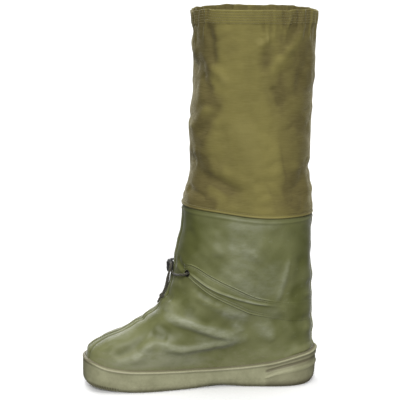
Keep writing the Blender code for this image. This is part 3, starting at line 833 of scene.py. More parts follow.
cordRoutes = {
    "ankleCordMedial": [
        (39.9, -20.3, 169.5), (41.3, -21.5, 169.4), (43.4, -23.9, 169.0), (44.2, -27.3, 168.6),
        (42.6, -31.0, 168.0), (38.6, -33.4, 167.1), (30.5, -36.0, 165.5), (22.8, -39.0, 164.7),
        (18.2, -41.0, 166.2), (14.8, -42.1, 168.4), (12.0, -42.4, 169.0), (9.0, -42.4, 169.0),
        (3.5, -42.4, 169.0), (-1.4, -42.6, 168.4), (-5.0, -43.1, 165.4), (-6.0, -43.8, 160.6),
        (-4.2, -44.7, 155.0), (-0.4, -46.0, 149.0), (3.2, -48.2, 143.0), (5.4, -51.0, 137.8),
        (6.8, -53.6, 133.3),
    ],
    "ankleCordLateral": [
        (-39.6, -19.6, 169.5), (-40.9, -20.7, 169.7), (-42.9, -23.1, 170.0), (-43.6, -26.5, 170.4),
        (-42.0, -30.2, 170.9), (-38.0, -32.8, 171.8), (-28.5, -36.4, 174.0), (-17.6, -39.2, 176.7),
        (-8.4, -40.8, 178.4), (-1.5, -42.0, 179.0), (3.5, -42.4, 179.0), (9.0, -42.4, 179.0),
        (14.5, -42.4, 179.0), (19.6, -42.6, 178.4), (23.6, -43.6, 175.2), (24.8, -45.0, 170.2),
        (23.0, -46.6, 164.6), (19.0, -47.8, 158.4), (15.0, -48.6, 152.0), (12.4, -49.7, 145.8),
        (11.2, -51.4, 139.6), (10.3, -54.0, 133.4),
    ],
    "hemCordFront": [
        (-62.2, 41.9, 526.0), (-63.9, 41.5, 526.0), (-66.6, 41.1, 525.4), (-69.4, 41.3, 523.4),
        (-71.3, 42.6, 520.2), (-71.8, 44.6, 516.6), (-71.4, 46.6, 512.8), (-71.2, 47.5, 509.0),
        (-71.2, 47.5, 505.0), (-71.2, 47.5, 499.0), (-71.2, 47.3, 493.0), (-71.0, 47.6, 486.5),
        (-70.2, 49.0, 480.0), (-68.9, 50.8, 473.6),
    ],
    "hemCordBack": [
        (-65.8, 62.5, 526.0), (-67.8, 62.3, 526.0), (-71.0, 62.0, 525.0), (-73.4, 61.2, 522.2),
        (-74.0, 60.0, 518.4), (-73.0, 58.7, 514.8), (-71.6, 57.8, 511.6), (-71.2, 57.5, 508.4),
        (-71.2, 57.5, 505.0), (-71.2, 57.5, 499.0), (-71.2, 57.7, 493.0), (-71.0, 57.4, 486.5),
        (-70.2, 56.0, 480.0), (-68.9, 54.2, 473.6),
    ],
}


def cordPath(route, step):
    # points a step apart along a smooth curve through the route
    route = np.array(route, float)
    along = lengthsAlong(route)
    at = np.linspace(0, along[-1], int(along[-1] / step) + 1)
    return np.stack([smooth(at, along, route[:, axis]) for axis in range(3)], axis=-1)


def makeBraid(name, path, radius):
    # a tube whose radius swells where either of two opposed sets of strands lies on top
    shape = cordShape
    around = gridAngles(shape["round"])
    turn = fullTurn * lengthsAlong(path)[:, None] / shape["lay"]
    half = shape["strands"] / 2
    hump = np.maximum(np.cos(half * around - turn), np.cos(half * around + turn))
    size = radius + shape["hump"] * (hump - 0.6)
    points = alongPath(path, np.stack([np.cos(around) * size, np.sin(around) * size], axis=-1))
    # the humps also carry the painted highlight
    return makeSurface(name, points, cordBraid, caps=True, values={"paintedLight": hump})


def makeCord(name, route):
    # a braid along its route, and the points that it follows
    path = cordPath(route, cordShape["step"])
    return makeBraid(name, path, cordShape["diameter"] / 2 + cordShape["proud"]), path


cords = {name: makeCord(name, route) for name, route in cordRoutes.items()}
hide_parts("ankle_bar_medial", "ankle_strand_lower")
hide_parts("ankle_bar_lateral", "ankle_strand_upper")
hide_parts("hem_bar_front", "hem_strand_front")
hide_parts("hem_bar_back", "hem_strand_back")
print("cords laid")

knotShape = {
    "ropeRadius": 1.4,
    "coilRadius": 2.5,
    "turns": 2.6,
    "pitch": 2.1,
    "rings": 90,
    "tails": ((1.1, 0.4), (-1.1, -0.4)),  # where each tail leaves, side and across
    "tailStart": 1.2,
    "tailRings": 40,
}


def makeKnot(name, centre, tip, node):
    # the two strands wound round each other in a short tight helix, and two tails that taper to frayed ends
    shape = knotShape
    centre = np.array(centre, float)
    length = np.linalg.norm(np.array(tip) - centre)
    down = unit(np.array(tip) - centre)
    side = unit(np.cross(down, (0.0, 1.0, 0.1)))
    across = np.cross(down, side)
    turn = np.linspace(0, fullTurn * shape["turns"], shape["rings"])
    drop = (turn / fullTurn - shape["turns"] / 2) * shape["pitch"]
    swell = shape["coilRadius"] * (0.55 + 0.45 * np.sin(np.linspace(0, np.pi, shape["rings"])))
    coil = placed(centre, (np.cos(turn) * swell, side), (np.sin(turn) * swell, across), (drop, down))
    pieces = [makeBraid(name, coil, shape["ropeRadius"])]
    fall = np.linspace(0, 1, shape["tailRings"])
    thin = shape["ropeRadius"] * (1 - 0.45 * fall**2)
    thin[-1] *= 0.35
    for index, (toSide, toAcross) in enumerate(shape["tails"]):
        hang = (shape["tailStart"] + (length - shape["tailStart"]) * fall) * (1 - 0.12 * index)
        tail = placed(
            centre,
            (hang, down),
            (toSide * (1 - 0.55 * fall), side),
            (toAcross + 0.5 * np.sin(3 * fall), across),
        )
        pieces.append(makeBraid(name + "Tail" + str(index + 1), tail, thin[:, None]))
    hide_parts(node)
    return pieces


ankleKnot = makeKnot("ankleKnot", (8.5, -55.2, 130.0), (8.8, -61.4, 119.4), "ankle_knot")
hemKnot = makeKnot("hemKnot", (-68.6, 52.5, 470.0), (-68.2, 52.5, 456.0), "hem_knot")

lockShape = {
    "size": (11.0, 10.2, 18.0),
    "forward": 1.1,  # how far its middle lies out from its bores
    "ribs": 5,
    "ribHeight": 0.35,
    "squareness": 0.75,
    "rows": 76,
    "columns": 56,
    "boreRadius": 2.0,
    "bores": 5.0,  # each lies this far from the middle
}
lockProfile = np.array([
    # place from end to end, scale
    (-0.500, 0.05),
    (-0.498, 0.45),
    (-0.480, 0.70),
    (-0.440, 0.88),
    (-0.360, 0.96),
    (-0.300, 1.00),
    (-0.060, 0.97),
    (0.060, 0.97),
    (0.300, 1.00),
    (0.360, 0.93),
    (0.385, 0.80),
    (0.400, 0.70),
    (0.440, 0.70),
    (0.485, 0.66),
    (0.498, 0.45),
    (0.500, 0.05),
])


def makeLock(name, centre, longAxis, boreAxis, node):
    # a squarish barrel, ribbed round its waist, with a press button at its upper end and a rim at each bore
    shape = lockShape
    centre = np.array(centre)
    bore = np.array(boreAxis, float)
    up = np.array(longAxis, float)
    through = np.cross(up, bore)
    wide, deep, tall = shape["size"]
    outwardly = unit(np.array([centre[0], centre[1] - 70.0, 0.0]) * np.abs(through))
    rows = np.linspace(0, len(lockProfile) - 1, shape["rows"])
    place, scale = (np.interp(rows, np.arange(len(lockProfile)), column) for column in lockProfile.T)
    rib = shape["ribHeight"] * np.cos(fullTurn * shape["ribs"] * place / 0.5).clip(0)
    rib = rib * (np.abs(place) < 0.25)
    around = gridAngles(shape["columns"])
    x = squared(np.cos(around), shape["squareness"]) * (wide / 2 * scale - 0.3)[:, None]
    y = squared(np.sin(around), shape["squareness"]) * (deep / 2 * scale - 0.3 + rib)[:, None]
    middle = centre + outwardly * shape["forward"]
    points = placed(middle, (x, bore), (y, through), ((place * tall)[:, None], up))
    barrel = makeSurface(name, points, lockPlastic, caps=True)
    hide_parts(node)
    pieces = [barrel]
    section = gridAngles(10)
    turn = gridAngles(28)
    reach = (shape["boreRadius"] + 0.3 + 0.55 * (1 + np.cos(section)))[:, None]
    out = (wide / 2 - 0.55 + 0.5 * np.sin(section))[:, None]
    for index, (side, end) in enumerate([(1, 1), (1, -1), (-1, 1), (-1, -1)]):
        middle = centre + up * shape["bores"] * side
        ring = placed(middle, (end * out, bore), (reach * np.cos(turn), through), (reach * np.sin(turn), up))
        title = name + "Rim" + str(index + 1)
        pieces.append(makeSurface(title, ring, lockPlastic, wrapRows=True))
    return pieces


ankleLock = makeLock("ankleLock", (9.0, -42.4, 174.0), (0.0, 0.0, 1.0), (1.0, 0.0, 0.0), "ankle_lock")
hemLock = makeLock("hemLock", (-71.2, 52.5, 505.0), (0.0, 1.0, 0.0), (0.0, 0.0, 1.0), "hem_lock")


def declareCord(name):
    # the length is the sum of the steps along the path
    made, path = cords[name]
    length = lengthsAlong(path)[-1]
    print(name, round(length, 1), "mm long")


declareCord("ankleCordMedial")
declareCord("ankleCordLateral")
declareCord("hemCordFront")
declareCord("hemCordBack")
print("locks and knots made")

# Upper: foot and ankle of coated cloth. Each fold is (lift, width, route of (degrees, height)).
upperShape = {
    "columns": 400,
    "rows": 172,
    "wall": 2.2,
    "settle": 1.1,  # levels over the rim before the folds have their full height
    "lip": 0.9,  # moulded edge below the textile
    "lipDrop": 6.5,
    "waves": [(0.9, 60.0, 5), (0.25, 17.0, 6)],
    "seam": [(0.8, 3.2, 2.0), (-0.8, 0.0, 0.9), (-0.64, 6.6, 1.1)],  # up the front: height, where, width
    # painted shade in the seam's grooves and a painted highlight beside its ridge: height, where, width
    "seamPaintedLight": [(-0.5, 0.0, 0.9), (-1.15, 6.5, 1.1), (0.4, 4.4, 0.9)],
    "flare": 3.2,  # reach of the heel over the sole's rim
    "flareStart": 134,  # degrees from the front
    "tucked": 1.3,  # how far the part under the textile is drawn in
    "levelledAt": 80,  # degrees at which the rows are evenly high
    "under": 0.3,  # height of its lower edge over the sole's floor
}

upperFolds = laid([
    # the long V over the vamp, its ridges and the hollows beside them
    (3.2, 7.0, [(26, 113), (38, 106), (50, 102), (60, 99), (72, 92), (82, 85), (92, 78), (103, 74)]),
    (1.6, 3.8, [(48, 98), (62, 94), (74, 87), (86, 79), (97, 74)]),
    (3.4, 6.0, [(104, 72), (97, 68), (90, 64), (82, 60.5), (74, 59.5), (67, 62.5), (59, 69), (50, 74)]),
    (2.6, 7.0, [(53, 71), (51, 64), (55, 54), (50, 44)]),
    (-0.7, 8.0, [(46, 124), (58, 115), (70, 107), (84, 97)]),
    (1.6, 7.0, [(27, 128), (28, 120), (32, 112)]),
    (-1.6, 7.0, [(36, 84), (46, 80), (56, 77)]),
    (-1.7, 11.0, [(34, 92), (46, 88), (58, 83), (70, 78), (82, 72)]),
    (2.0, 7.0, [(44, 145), (52, 137), (64, 129), (82, 115), (96, 107)]),
    (-1.8, 5.5, [(42, 154), (51, 147), (62, 137), (76, 126)]),
    (1.2, 6.0, [(86, 99), (93, 93), (96, 84), (101, 89)]),
    (-1.3, 7.5, [(33, 82), (39, 72), (41, 62), (38, 50)]),
    (1.0, 13.0, [(12, 88), (18, 78), (20, 66)]),
    (0.6, 4.5, [(-20, 90), (-6, 88), (12, 86)]),
    (-3.2, 5.0, [(-20, 100), (-4, 98), (12, 99)]),
    (-1.0, 8.0, [(-20, 112), (0, 110), (14, 110)]),
    # back of the ankle
    (1.4, 5.0, [(128, 198), (124, 176), (120, 153), (118, 138), (115, 121)]),
    (-1.8, 10.0, [(142, 196), (138, 168), (134, 140), (131, 120)]),
    (-2.0, 9.0, [(119, 113), (123, 92), (133, 73), (149, 57)]),
    (1.6, 8.0, [(112, 98), (116, 82), (126, 66)]),
    (-1.2, 6.0, [(150, 150), (165, 146), (180, 144)]),
    (1.1, 5.0, [(146, 134), (163, 130), (180, 129)]),
    (-1.3, 6.0, [(144, 100), (160, 96), (180, 95)]),
    (1.2, 6.0, [(148, 84), (164, 80), (180, 79)]),
    # above the tape
    (-1.4, 9.0, [(30, 236), (38, 214), (46, 196)]),
    (1.2, 10.0, [(58, 236), (62, 214), (66, 192)]),
    (1.0, 7.0, [(78, 206), (92, 200), (104, 186)]),
    (-1.0, 7.0, [(74, 180), (90, 170), (102, 156)]),
    # gathers at the front eyelets
    (-1.2, 4.0, [(14, 190), (22, 181), (31, 173)]),
    (1.2, 3.5, [(12, 178), (20, 174), (30, 169)]),
    (-1.2, 4.0, [(14, 160), (22, 163), (31, 166)]),
    (1.2, 5.0, [(8, 148), (18, 150), (30, 155)]),
    (-1.6, 6.0, [(3, 136), (14, 132), (26, 130)]),
    (1.8, 6.0, [(-12, 128), (2, 124), (14, 120)]),
    (-1.6, 4.0, [(346, 190), (338, 181), (329, 173)]),
    (1.4, 3.5, [(348, 178), (340, 174), (330, 169)]),
    (-1.5, 4.0, [(346, 160), (338, 163), (329, 166)]),
    # lateral side
    (3.2, 8.0, [(334, 118), (318, 108), (300, 99), (282, 90), (266, 80)]),
    (-3.2, 8.0, [(322, 122), (304, 112), (288, 102), (272, 92)]),
    (-3.0, 8.0, [(330, 99), (312, 90), (294, 80), (280, 72)]),
    (2.8, 7.0, [(262, 78), (272, 68), (286, 62), (300, 60), (312, 64)]),
    (1.9, 6.0, [(316, 146), (304, 136), (290, 126), (272, 116)]),
    (2.0, 7.0, [(238, 192), (241, 170), (243, 148), (246, 126)]),
    (-2.0, 9.0, [(226, 186), (229, 160), (231, 136)]),
    (-1.8, 8.0, [(242, 108), (236, 90), (224, 72)]),
    (1.1, 9.0, [(300, 236), (296, 214), (290, 194)]),
    (-1.2, 9.0, [(270, 234), (266, 212), (262, 190)]),
    (-3.2, 20.0, [(-40, 236), (-20, 234), (0, 232), (20, 234), (40, 236)]),
    (-2.6, 24.0, [(180, 240), (180, 155)]),
])

# Painted highlights (above 0) and painted shade (below 0) on the cloth, laid as the folds are.
upperPaintedLight = laid([
    (0.45, 22.0, [(68, 240), (86, 234), (104, 230)]),
    (0.60, 15.0, [(70, 210), (86, 206), (100, 198)]),
    (-1.25, 21.0, [(18, 248), (24, 216), (30, 192)]),
    (-0.95, 24.0, [(148, 244), (148, 204), (150, 164)]),
    (-1.0, 19.0, [(136, 156), (138, 124), (146, 90)]),
    (-0.85, 26.0, [(10, 262), (16, 232), (22, 200), (28, 172)]),
    (1.05, 6.5, [
        (27, 126), (29, 116), (38, 107), (50, 102), (60, 99), (72, 92), (82, 86), (92, 79), (102, 74),
    ]),
    (1.70, 6.5, [(103, 72), (97, 68), (90, 64), (82, 60), (74, 59), (67, 62), (59, 69), (50, 74)]),
    (0.70, 6.0, [(74, 60), (68, 62), (62, 66)]),
    (-0.95, 8.0, [(38, 132), (48, 122), (58, 113)]),
    (-0.95, 6.0, [(46, 119), (55, 109), (66, 104), (76, 98)]),
    (-0.90, 6.0, [(38, 86), (47, 83), (57, 79)]),
    (-0.60, 7.0, [(48, 148), (54, 141), (62, 134)]),
    (-1.00, 8.0, [(4, 118), (11, 110), (16, 102)]),
    (-0.80, 12.0, [(-4, 80), (4, 72), (6, 64)]),
    (0.60, 6.0, [(46, 45), (54, 43), (62, 42)]),
    (1.25, 8.5, [(76, 118), (88, 110), (100, 104)]),
    (0.70, 7.0, [(90, 98), (96, 90), (99, 82)]),
    (0.45, 7.0, [(72, 77), (84, 71)]),
    (-0.70, 9.5, [(33, 152), (40, 136), (46, 123)]),
    (-0.75, 10.0, [(26, 176), (36, 170), (46, 161)]),
    (0.95, 9.5, [(60, 55), (70, 57), (80, 54)]),
    (-0.35, 15.0, [(10, 62), (16, 82)]),
    (0.50, 6.0, [(62, 242), (90, 239), (120, 240)]),
    (0.95, 24.0, [(76, 196), (84, 172), (92, 148), (100, 122)]),
    (-0.50, 11.0, [(22, 188), (27, 168), (31, 150)]),
    (-0.50, 11.0, [(44, 244), (50, 228), (54, 212)]),
    (-1.20, 8.5, [(30, 95), (42, 90), (54, 85)]),
    (-0.70, 8.0, [(25, 64), (33, 58)]),
    (1.40, 8.5, [(28, 45), (50, 43), (75, 42), (95, 41)]),
    (0.35, 7.0, [(66, 82), (76, 76), (90, 70)]),
    (-0.80, 9.0, [(20, 150), (26, 138), (30, 128)]),
    (-0.75, 6.0, [(31, 84), (38, 74), (40, 65), (40, 57), (37, 50)]),
    (1.30, 8.0, [(52, 47), (56, 55), (52, 67)]),
    (0.60, 6.5, [(19, 86), (20, 77), (20, 68), (29, 70)]),
    (-0.55, 6.0, [(18, 98), (22, 105), (22, 114)]),
    (-0.55, 5.0, [(54, 143), (66, 132), (78, 123)]),
    (-0.75, 8.5, [(134, 108), (138, 88), (146, 72), (154, 58)]),
    (-0.60, 8.0, [(166, 150), (165, 112), (165, 84), (166, 60)]),
    (-0.55, 15.0, [(14, 206), (26, 200), (37, 190)]),
    (-0.55, 16.0, [(24, 246), (30, 226), (36, 206)]),
    (-0.30, 12.0, [(106, 50), (124, 54), (144, 60)]),
    (0.35, 3.5, [(126, 196), (122, 170), (118, 142), (116, 124)]),
    (0.50, 9.0, [(104, 100), (112, 86), (122, 74)]),
    (0.45, 20.0, [(112, 126), (118, 102), (128, 76)]),
    (0.50, 22.0, [(106, 190), (114, 160), (116, 130)]),
    (-0.70, 8.0, [(43, 178), (50, 170), (57, 162)]),
    (0.55, 16.0, [(292, 236), (276, 226), (262, 214)]),
    (-0.80, 18.0, [(214, 238), (212, 190), (210, 140)]),
    (0.60, 8.0, [(334, 118), (318, 108), (300, 99), (282, 90), (266, 80)]),
    (-0.80, 10.0, [(324, 92), (308, 84), (292, 76)]),
    (0.50, 12.0, [(350, 74), (342, 84), (332, 94)]),
])


def upperLift(angle, level, points):
    # folds, slow waves, a fine crumple, the front seam's groove, the lip under the textile, the heel's flare,
    # and the painted light and shade that go with them
    shape = upperShape
    settle = ease(level / shape["settle"]) * ease((jointLevel + 0.15 - level) / 0.6)
    folds = foldLift(points, upperFolds)
    fromSeam = np.minimum(angle, fullTurn - angle) * (30 + 30 * ease(level / 4))  # millimetres
    lipHeight = heightOf(angle, jointLevel) - shape["lipDrop"] - lapDip(angle)
    lip = shape["lip"] * bump(points[..., 2] - lipHeight, 1.5)
    tucked = shape["tucked"] * ease((level - jointLevel - 0.02) / 0.3)
    above = points[..., 2] - rimHeight(placeOf(points[..., 1]))
    back = ease((degreesFromFront(angle) - shape["flareStart"]) / 24)
    flare = shape["flare"] * back * ease((13 - above) / 11) * ease(above / 2.2)
    uneven = folds + rippled(points, shape["waves"]) + bumps(fromSeam, shape["seam"])
    # painted highlight on the folds' ridges and painted shade in their hollows, the painted places, and the
    # seam's painted light
    tones = 0.22 * folds + foldLift(points, upperPaintedLight) + bumps(fromSeam, shape["seamPaintedLight"])
    return settle * uneven + lip - tucked + flare, tones


def upperSurface(angle, level):
    # the folded outside of the upper, its smooth normal and its painted light and shade
    base = skin(angle, level)
    normal = outward(angle, level)
    lift, tones = upperLift(np.mod(angle, fullTurn), level, base)
    return base + lift[..., None] * normal, normal, tones


def lapDip(angle):
    # the textile's edge hangs a little lower on the medial side
    return 3.6 * np.exp(-(((np.degrees(angle) - 98) / 30) ** 2)) + 0.5 * np.sin(3 * angle + 1.0)


def clothUv(rows, columns, around, heights):
    # millimetres round the leg and up it, with the seam's column and row repeated
    u = np.broadcast_to(np.linspace(0, around, columns + 1), (rows + 1, columns + 1))
    v = np.broadcast_to(np.append(heights, heights[-1])[:, None], (rows + 1, columns + 1))
    return np.stack([u, v], axis=-1)


def makeUpper():
    # outside rows up from the sole's floor, over the top edge and down the inside
    shape = upperShape
    level = np.linspace(0, lapTopLevel, shape["rows"])
    heights = heightsUp(shape["levelledAt"], level)
    level = np.interp(np.linspace(heights[0], heights[-1], shape["rows"]), heights, level)
    angle, level = np.meshgrid(gridAngles(shape["columns"]), level)
    outside, normal, tones = upperSurface(angle, level)
    step = slice(None, None, -6)
    inside = outside[step] - shape["wall"] * normal[step]
    inset = soleShape["cupWall"] + soleShape["cupGap"]
    below = floorRing(angle[:1], inset, shape["under"])
    innerBelow = floorRing(angle[:1], inset + shape["wall"], shape["under"])
    points = np.concatenate([below, outside, inside, innerBelow])
    paintedLight = np.zeros(points.shape[:2])
    paintedLight[1 : 1 + shape["rows"]] = tones
    values = {"paintedLight": paintedLight}
    made = makeSurface("upperCloth", points, coatedCloth, wrapRows=True, values=values)
    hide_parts("upper")
    return made


upper = makeUpper()
print("upper folded")
# Drawcord tape: its cord's ridge follows the tunnel, and its two edges spread further apart towards the heel.
tapeShape = {
    "columns": 470,
    "start": 30.0,
    "lift": 1.0,
    "ridge": (2.0, 1.7),  # height and width
    "edge": [(0.7, 1.0, 1.0), (-0.55, 2.9, 0.8), (-0.35, 5.4, 0.8)],  # rolled, and stitched twice
    # painted highlights on the rolled edge and between the stitched lines, painted shade in the first
    # stitched line
    "edgePaintedLight": [(0.55, 1.0, 0.9), (0.6, 4.1, 0.8), (-0.9, 2.9, 0.6)],
    # painted highlight on the cord's ridge, painted shade beside it
    "ridgePaintedLight": [(1.2, 0.0, 1.3), (-0.7, 3.2, 1.2)],
    "stitched": (2.9, 5.4),  # lines in from each edge
    "thinStart": 98,  # degrees from the front, past which it is pressed flat
}
tapeTable = np.array([
    # degrees from the front, height of the ridge, reach above it, reach below it
    (29.0, 171.0, 10.0, 5.5),
    (38.0, 169.5, 13.5, 6.0),
    (45.0, 165.0, 15.5, 7.5),
    (62.0, 150.5, 17.5, 9.5),
    (84.0, 136.0, 14.5, 12.5),
    (100.0, 127.0, 9.5, 17.0),
    (116.0, 121.0, 8.5, 19.0),
    (150.0, 113.0, 10.0, 18.0),
    (180.0, 111.0, 11.0, 17.0),
])


def tapeRow(degrees, column):
    # a column of the tape's table, the same on both sides of the shoe
    return lookUp(tapeTable, np.minimum(degrees, 360 - degrees), column)


def tapeReach(degrees, across):
    # millimetres from the cord's ridge to the upper edge, or to the lower one
    return np.where(across > 0, tapeRow(degrees, 2), tapeRow(degrees, 3))


def tapeHeight(degrees, across):
    # height at a share across the tape: -1 its lower edge, 0 the cord's ridge, 1 its upper edge
    return tapeRow(degrees, 1) + across * tapeReach(degrees, across)


def tapeLift(degrees, across):
    # a thin strip with rolled edges, two stitched channels inside each, and the swelling over its cord
    shape = tapeShape
    height, width = shape["ridge"]
    reach = tapeReach(degrees, across)
    inFromEdge = (1 - np.abs(across)) * reach
    fromFront = np.minimum(degrees, 360 - degrees)
    beyond = fromFront - shape["thinStart"]
    swell = ease((fromFront - 35) / 12) * (1 - 0.8 * ease((beyond - 9) / 14))
    lift = shape["lift"] + bumps(inFromEdge, shape["edge"])
    lift = lift + height * swell * bump(np.abs(across) * reach, width)
    pressed = 1 - 0.8 * ease((beyond - 4) / 14)
    return lift * pressed * ease(inFromEdge / (0.8 + 3.6 * ease(beyond / 16)) + 0.25)


def makeThin(name, face, normal, lift, paintedLight, every):
    # a strip of cloth: its face raised by lift, and an underside with one point for so many of the face's
    top = face + lift[..., None] * normal
    under = (face - 0.5 * normal)[:, ::-1][:, ::every]
    points = np.concatenate([top, under], axis=1)
    paintedLightRows = np.zeros(points.shape[:2])
    paintedLightRows[:, : top.shape[1]] = paintedLight
    return makeSurface(name, points, coatedCloth, caps=True, values={"paintedLight": paintedLightRows})


def makeTape():
    # round the ankle from one side of the front to the other, with painted highlights on its edges and its
    # ridge, and painted shade in a stitched channel and beside the ridge
    shape = tapeShape
    degrees = np.linspace(shape["start"], 360 - shape["start"], shape["columns"])[:, None]
    across = np.concatenate([
        -1 + 0.5 * np.linspace(0, 1, 19) ** 1.2,
        np.linspace(-0.48, 0.48, 27),
        1 - 0.5 * np.linspace(1, 0, 19) ** 1.2,
    ])[None, :]
    degrees, across = np.broadcast_arrays(degrees, across)
    angle = np.radians(degrees)
    face, normal, _ = upperSurface(angle, levelAt(angle, tapeHeight(degrees, across)))
    reach = tapeReach(degrees, across)
    fromFront = np.minimum(degrees, 360 - degrees)
    # the painted light of its edges and ridge, faded towards its ends and where it is pressed flat, over the
    # cloth's painted light
    marks = bumps((1 - np.abs(across)) * reach, shape["edgePaintedLight"])
    marks = marks + bumps(np.abs(across) * reach, shape["ridgePaintedLight"])
    fade = (0.2 + 0.8 * ease((fromFront - 34) / 8)) * (1 - ease((fromFront - shape["thinStart"] - 2) / 14))
    paintedLight = marks * fade + foldLift(face, upperPaintedLight)
    lift = tapeLift(degrees, across) * ease((fromFront - shape["start"]) / 7 + 0.1)
    made = makeThin("ankleTape", face, normal, lift, paintedLight, 7)
    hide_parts("ankle_tape")
    return made


ankleTape = makeTape()
print("tape laid")

stripShape = {
    "heights": (52.0, 250.0, 1.6),  # from, to, step
    "halfWidth": 10.0,
    "columns": 25,
    "lift": 1.1,
    "edge": [(0.35, 1.2, 0.9), (-0.3, 2.8, 0.7)],  # rolled, and stitched once
    # painted highlight on the rolled edge and painted shade in the stitched line
    "edgePaintedLight": [(0.5, 1.2, 0.9), (-0.7, 2.8, 0.7)],
    "stitched": 2.8,  # in from each edge
}


def makeStrip(shape):
    # a strip of cloth up the heel, rolled at both edges, with a channel inside each
    heights = np.arange(*shape["heights"])[:, None] + np.zeros(shape["columns"])
    across = np.linspace(-1, 1, shape["columns"])[None, :]
    middle = np.full(heights.shape, math.pi)
    angle = middle + across * shape["halfWidth"] / spreadAt(middle, levelAt(middle, heights))
    face, normal, _ = upperSurface(angle, levelAt(angle, heights))
    inward = (1 - np.abs(across)) * shape["halfWidth"]
    raised = shape["lift"] * ease(inward / 0.9 + 0.2) + bumps(inward, shape["edge"])
    row = np.arange(len(heights))
    ends = ease(np.minimum(row, row[::-1]) / 2 + 0.3)[:, None]
    return makeThin("backStrip", face, normal, raised * ends, bumps(inward, shape["edgePaintedLight"]), 4)


backStrip = makeStrip(stripShape)
print("back strip laid")

# Shaft: textile leg, lapped over the upper below and ending in the gathered hem above.
shaftShape = {
    "columns": 380,
    "rows": 184,
    "wall": 1.9,
    "lap": 1.7,
    "lapStitch": 4.2,  # height of the stitched line above the lap's edge
    "lapEdge": [(0.9, 1.6, 1.6), (-0.9, 4.2, 1.0)],  # rolled, and stitched: height, where, width
    # painted highlight on the rolled edge and painted shade in the stitched line: height, where, width
    "lapPaintedLight": [(0.7, 1.5, 1.5), (-0.8, 4.2, 0.9)],
    "hemRows": (3.0, 6.5, 10.0, 13.5, 17.0),  # stitched lines, down from the top
    "hemGrid": (24, 44),  # the hem's height, and the grid's rows in it
    "hemWall": 3.0,
    "hemLift": 0.6,
    "hemPuckers": [(0.30, 5.0, 14, (1.0, 1.0, 0.25))],
    "inside": 22,
    "waves": [(1.1, 75.0, 11, (1.0, 1.0, 0.7)), (0.25, 19.0, 12)],
    "facets": (2.6, 70.0, 17, (1.0, 1.0, 0.6)),  # height, size, seed, squeeze
    "smallFacets": (1.1, 31.0, 18, (1.0, 1.0, 0.7)),
    "pleats": 88,
    "pleatSeed": 21,
    "calmAt": (78, 40.0),  # degrees where the medial side is flat, and how wide
    "rimDips": [(5.5, 0.0, 24.0), (3.5, 180.0, 26.0)],  # by degrees from the front
    "rimRises": [(1.6, 291.0, 6.0), (0.9, 279.0, 5.0)],  # by degrees round
    "around": 476.0,  # of its weave
    "levelledAt": 80,  # degrees at which the rows are evenly high
}

shaftFolds = [
    # over the joint, medial side
    (-3.4, 8.0, [(34, 308), (46, 305), (58, 301), (71, 292), (84, 281)]),
    (1.2, 8.0, [(30, 322), (46, 320), (60, 316), (76, 306), (92, 294)]),
    (-3.4, 6.0, [(8, 287), (20, 285), (34, 280), (48, 274)]),
    (-2.4, 9.0, [(-30, 275), (0, 273), (20, 272)]),
    (-4.4, 27.0, [(-58, 320), (-30, 314), (0, 312), (30, 314), (54, 320)]),
    (-4.6, 24.0, [(-58, 462), (-30, 459), (0, 457), (30, 459), (50, 462)]),
    (2.0, 12.0, [(-34, 372), (0, 368), (30, 370)]),
    (-1.6, 12.0, [(-30, 424), (0, 426), (26, 424)]),
    (-1.4, 12.0, [(-30, 500), (0, 502), (26, 500)]),
    (-1.4, 7.0, [(62, 279), (80, 271), (96, 267), (112, 268)]),
    (2.6, 8.0, [(138, 277), (152, 281), (168, 283), (182, 283), (200, 284)]),
    (-1.8, 13.0, [(140, 318), (135, 296), (130, 275)]),
    (-2.8, 7.5, [(150, 318), (166, 315), (180, 314), (198, 316)]),
    # front of the leg
    (-2.4, 6.5, [(58, 410), (48, 390), (37, 373), (26, 362)]),
    (2.2, 8.0, [(44, 408), (34, 392), (22, 378), (8, 370)]),
    (2.2, 8.0, [(24, 482), (38, 460), (56, 446), (64, 427)]),
    (-2.6, 6.5, [(39, 522), (41, 498), (45, 472), (50, 455)]),
    (-2.4, 9.0, [(26, 450), (36, 432), (46, 420)]),
    (1.8, 9.0, [(-14, 500), (4, 486), (20, 474)]),
    (-2.0, 8.0, [(-8, 470), (6, 460), (18, 452)]),
    (1.6, 9.0, [(4, 345), (16, 340), (30, 340)]),
    (-1.6, 8.0, [(0, 325), (14, 326), (26, 324)]),
    # medial hollow and its bright edge
    (1.4, 5.0, [(103, 503), (95, 493), (88, 484)]),
    (-1.8, 8.0, [(94, 481), (94, 464), (96, 446)]),
    (2.0, 7.0, [(119, 496), (112, 475), (104, 458), (100, 442)]),
    (-2.2, 5.0, [(101, 434), (108, 416), (113, 400)]),
    (-2.2, 6.5, [(127, 518), (122, 500), (115, 482)]),
    (2.2, 7.0, [(143, 530), (129, 506), (118, 484), (112, 470)]),
    (-2.0, 9.0, [(140, 470), (132, 440), (126, 410)]),
    (0.7, 14.0, [(116, 388), (110, 352), (108, 322)]),
    # back and lateral side
    (-2.2, 8.0, [(176, 500), (196, 470), (214, 448)]),
    (2.2, 9.0, [(200, 508), (216, 484), (232, 462)]),
    (-2.2, 9.0, [(250, 492), (254, 462), (262, 436)]),
    (2.0, 9.0, [(266, 486), (272, 456), (284, 430)]),
    (-2.4, 8.0, [(336, 300), (318, 296), (300, 286), (284, 278)]),
    (2.2, 8.0, [(330, 316), (312, 312), (294, 300)]),
    (-1.8, 8.0, [(318, 400), (306, 384), (294, 372)]),
    (1.8, 9.0, [(330, 450), (316, 432), (300, 420)]),
    (-2.0, 8.0, [(222, 312), (232, 292), (240, 276)]),
    (1.8, 9.0, [(206, 420), (220, 396), (230, 370)]),
    (-1.8, 9.0, [(190, 390), (204, 368), (214, 345)]),
]


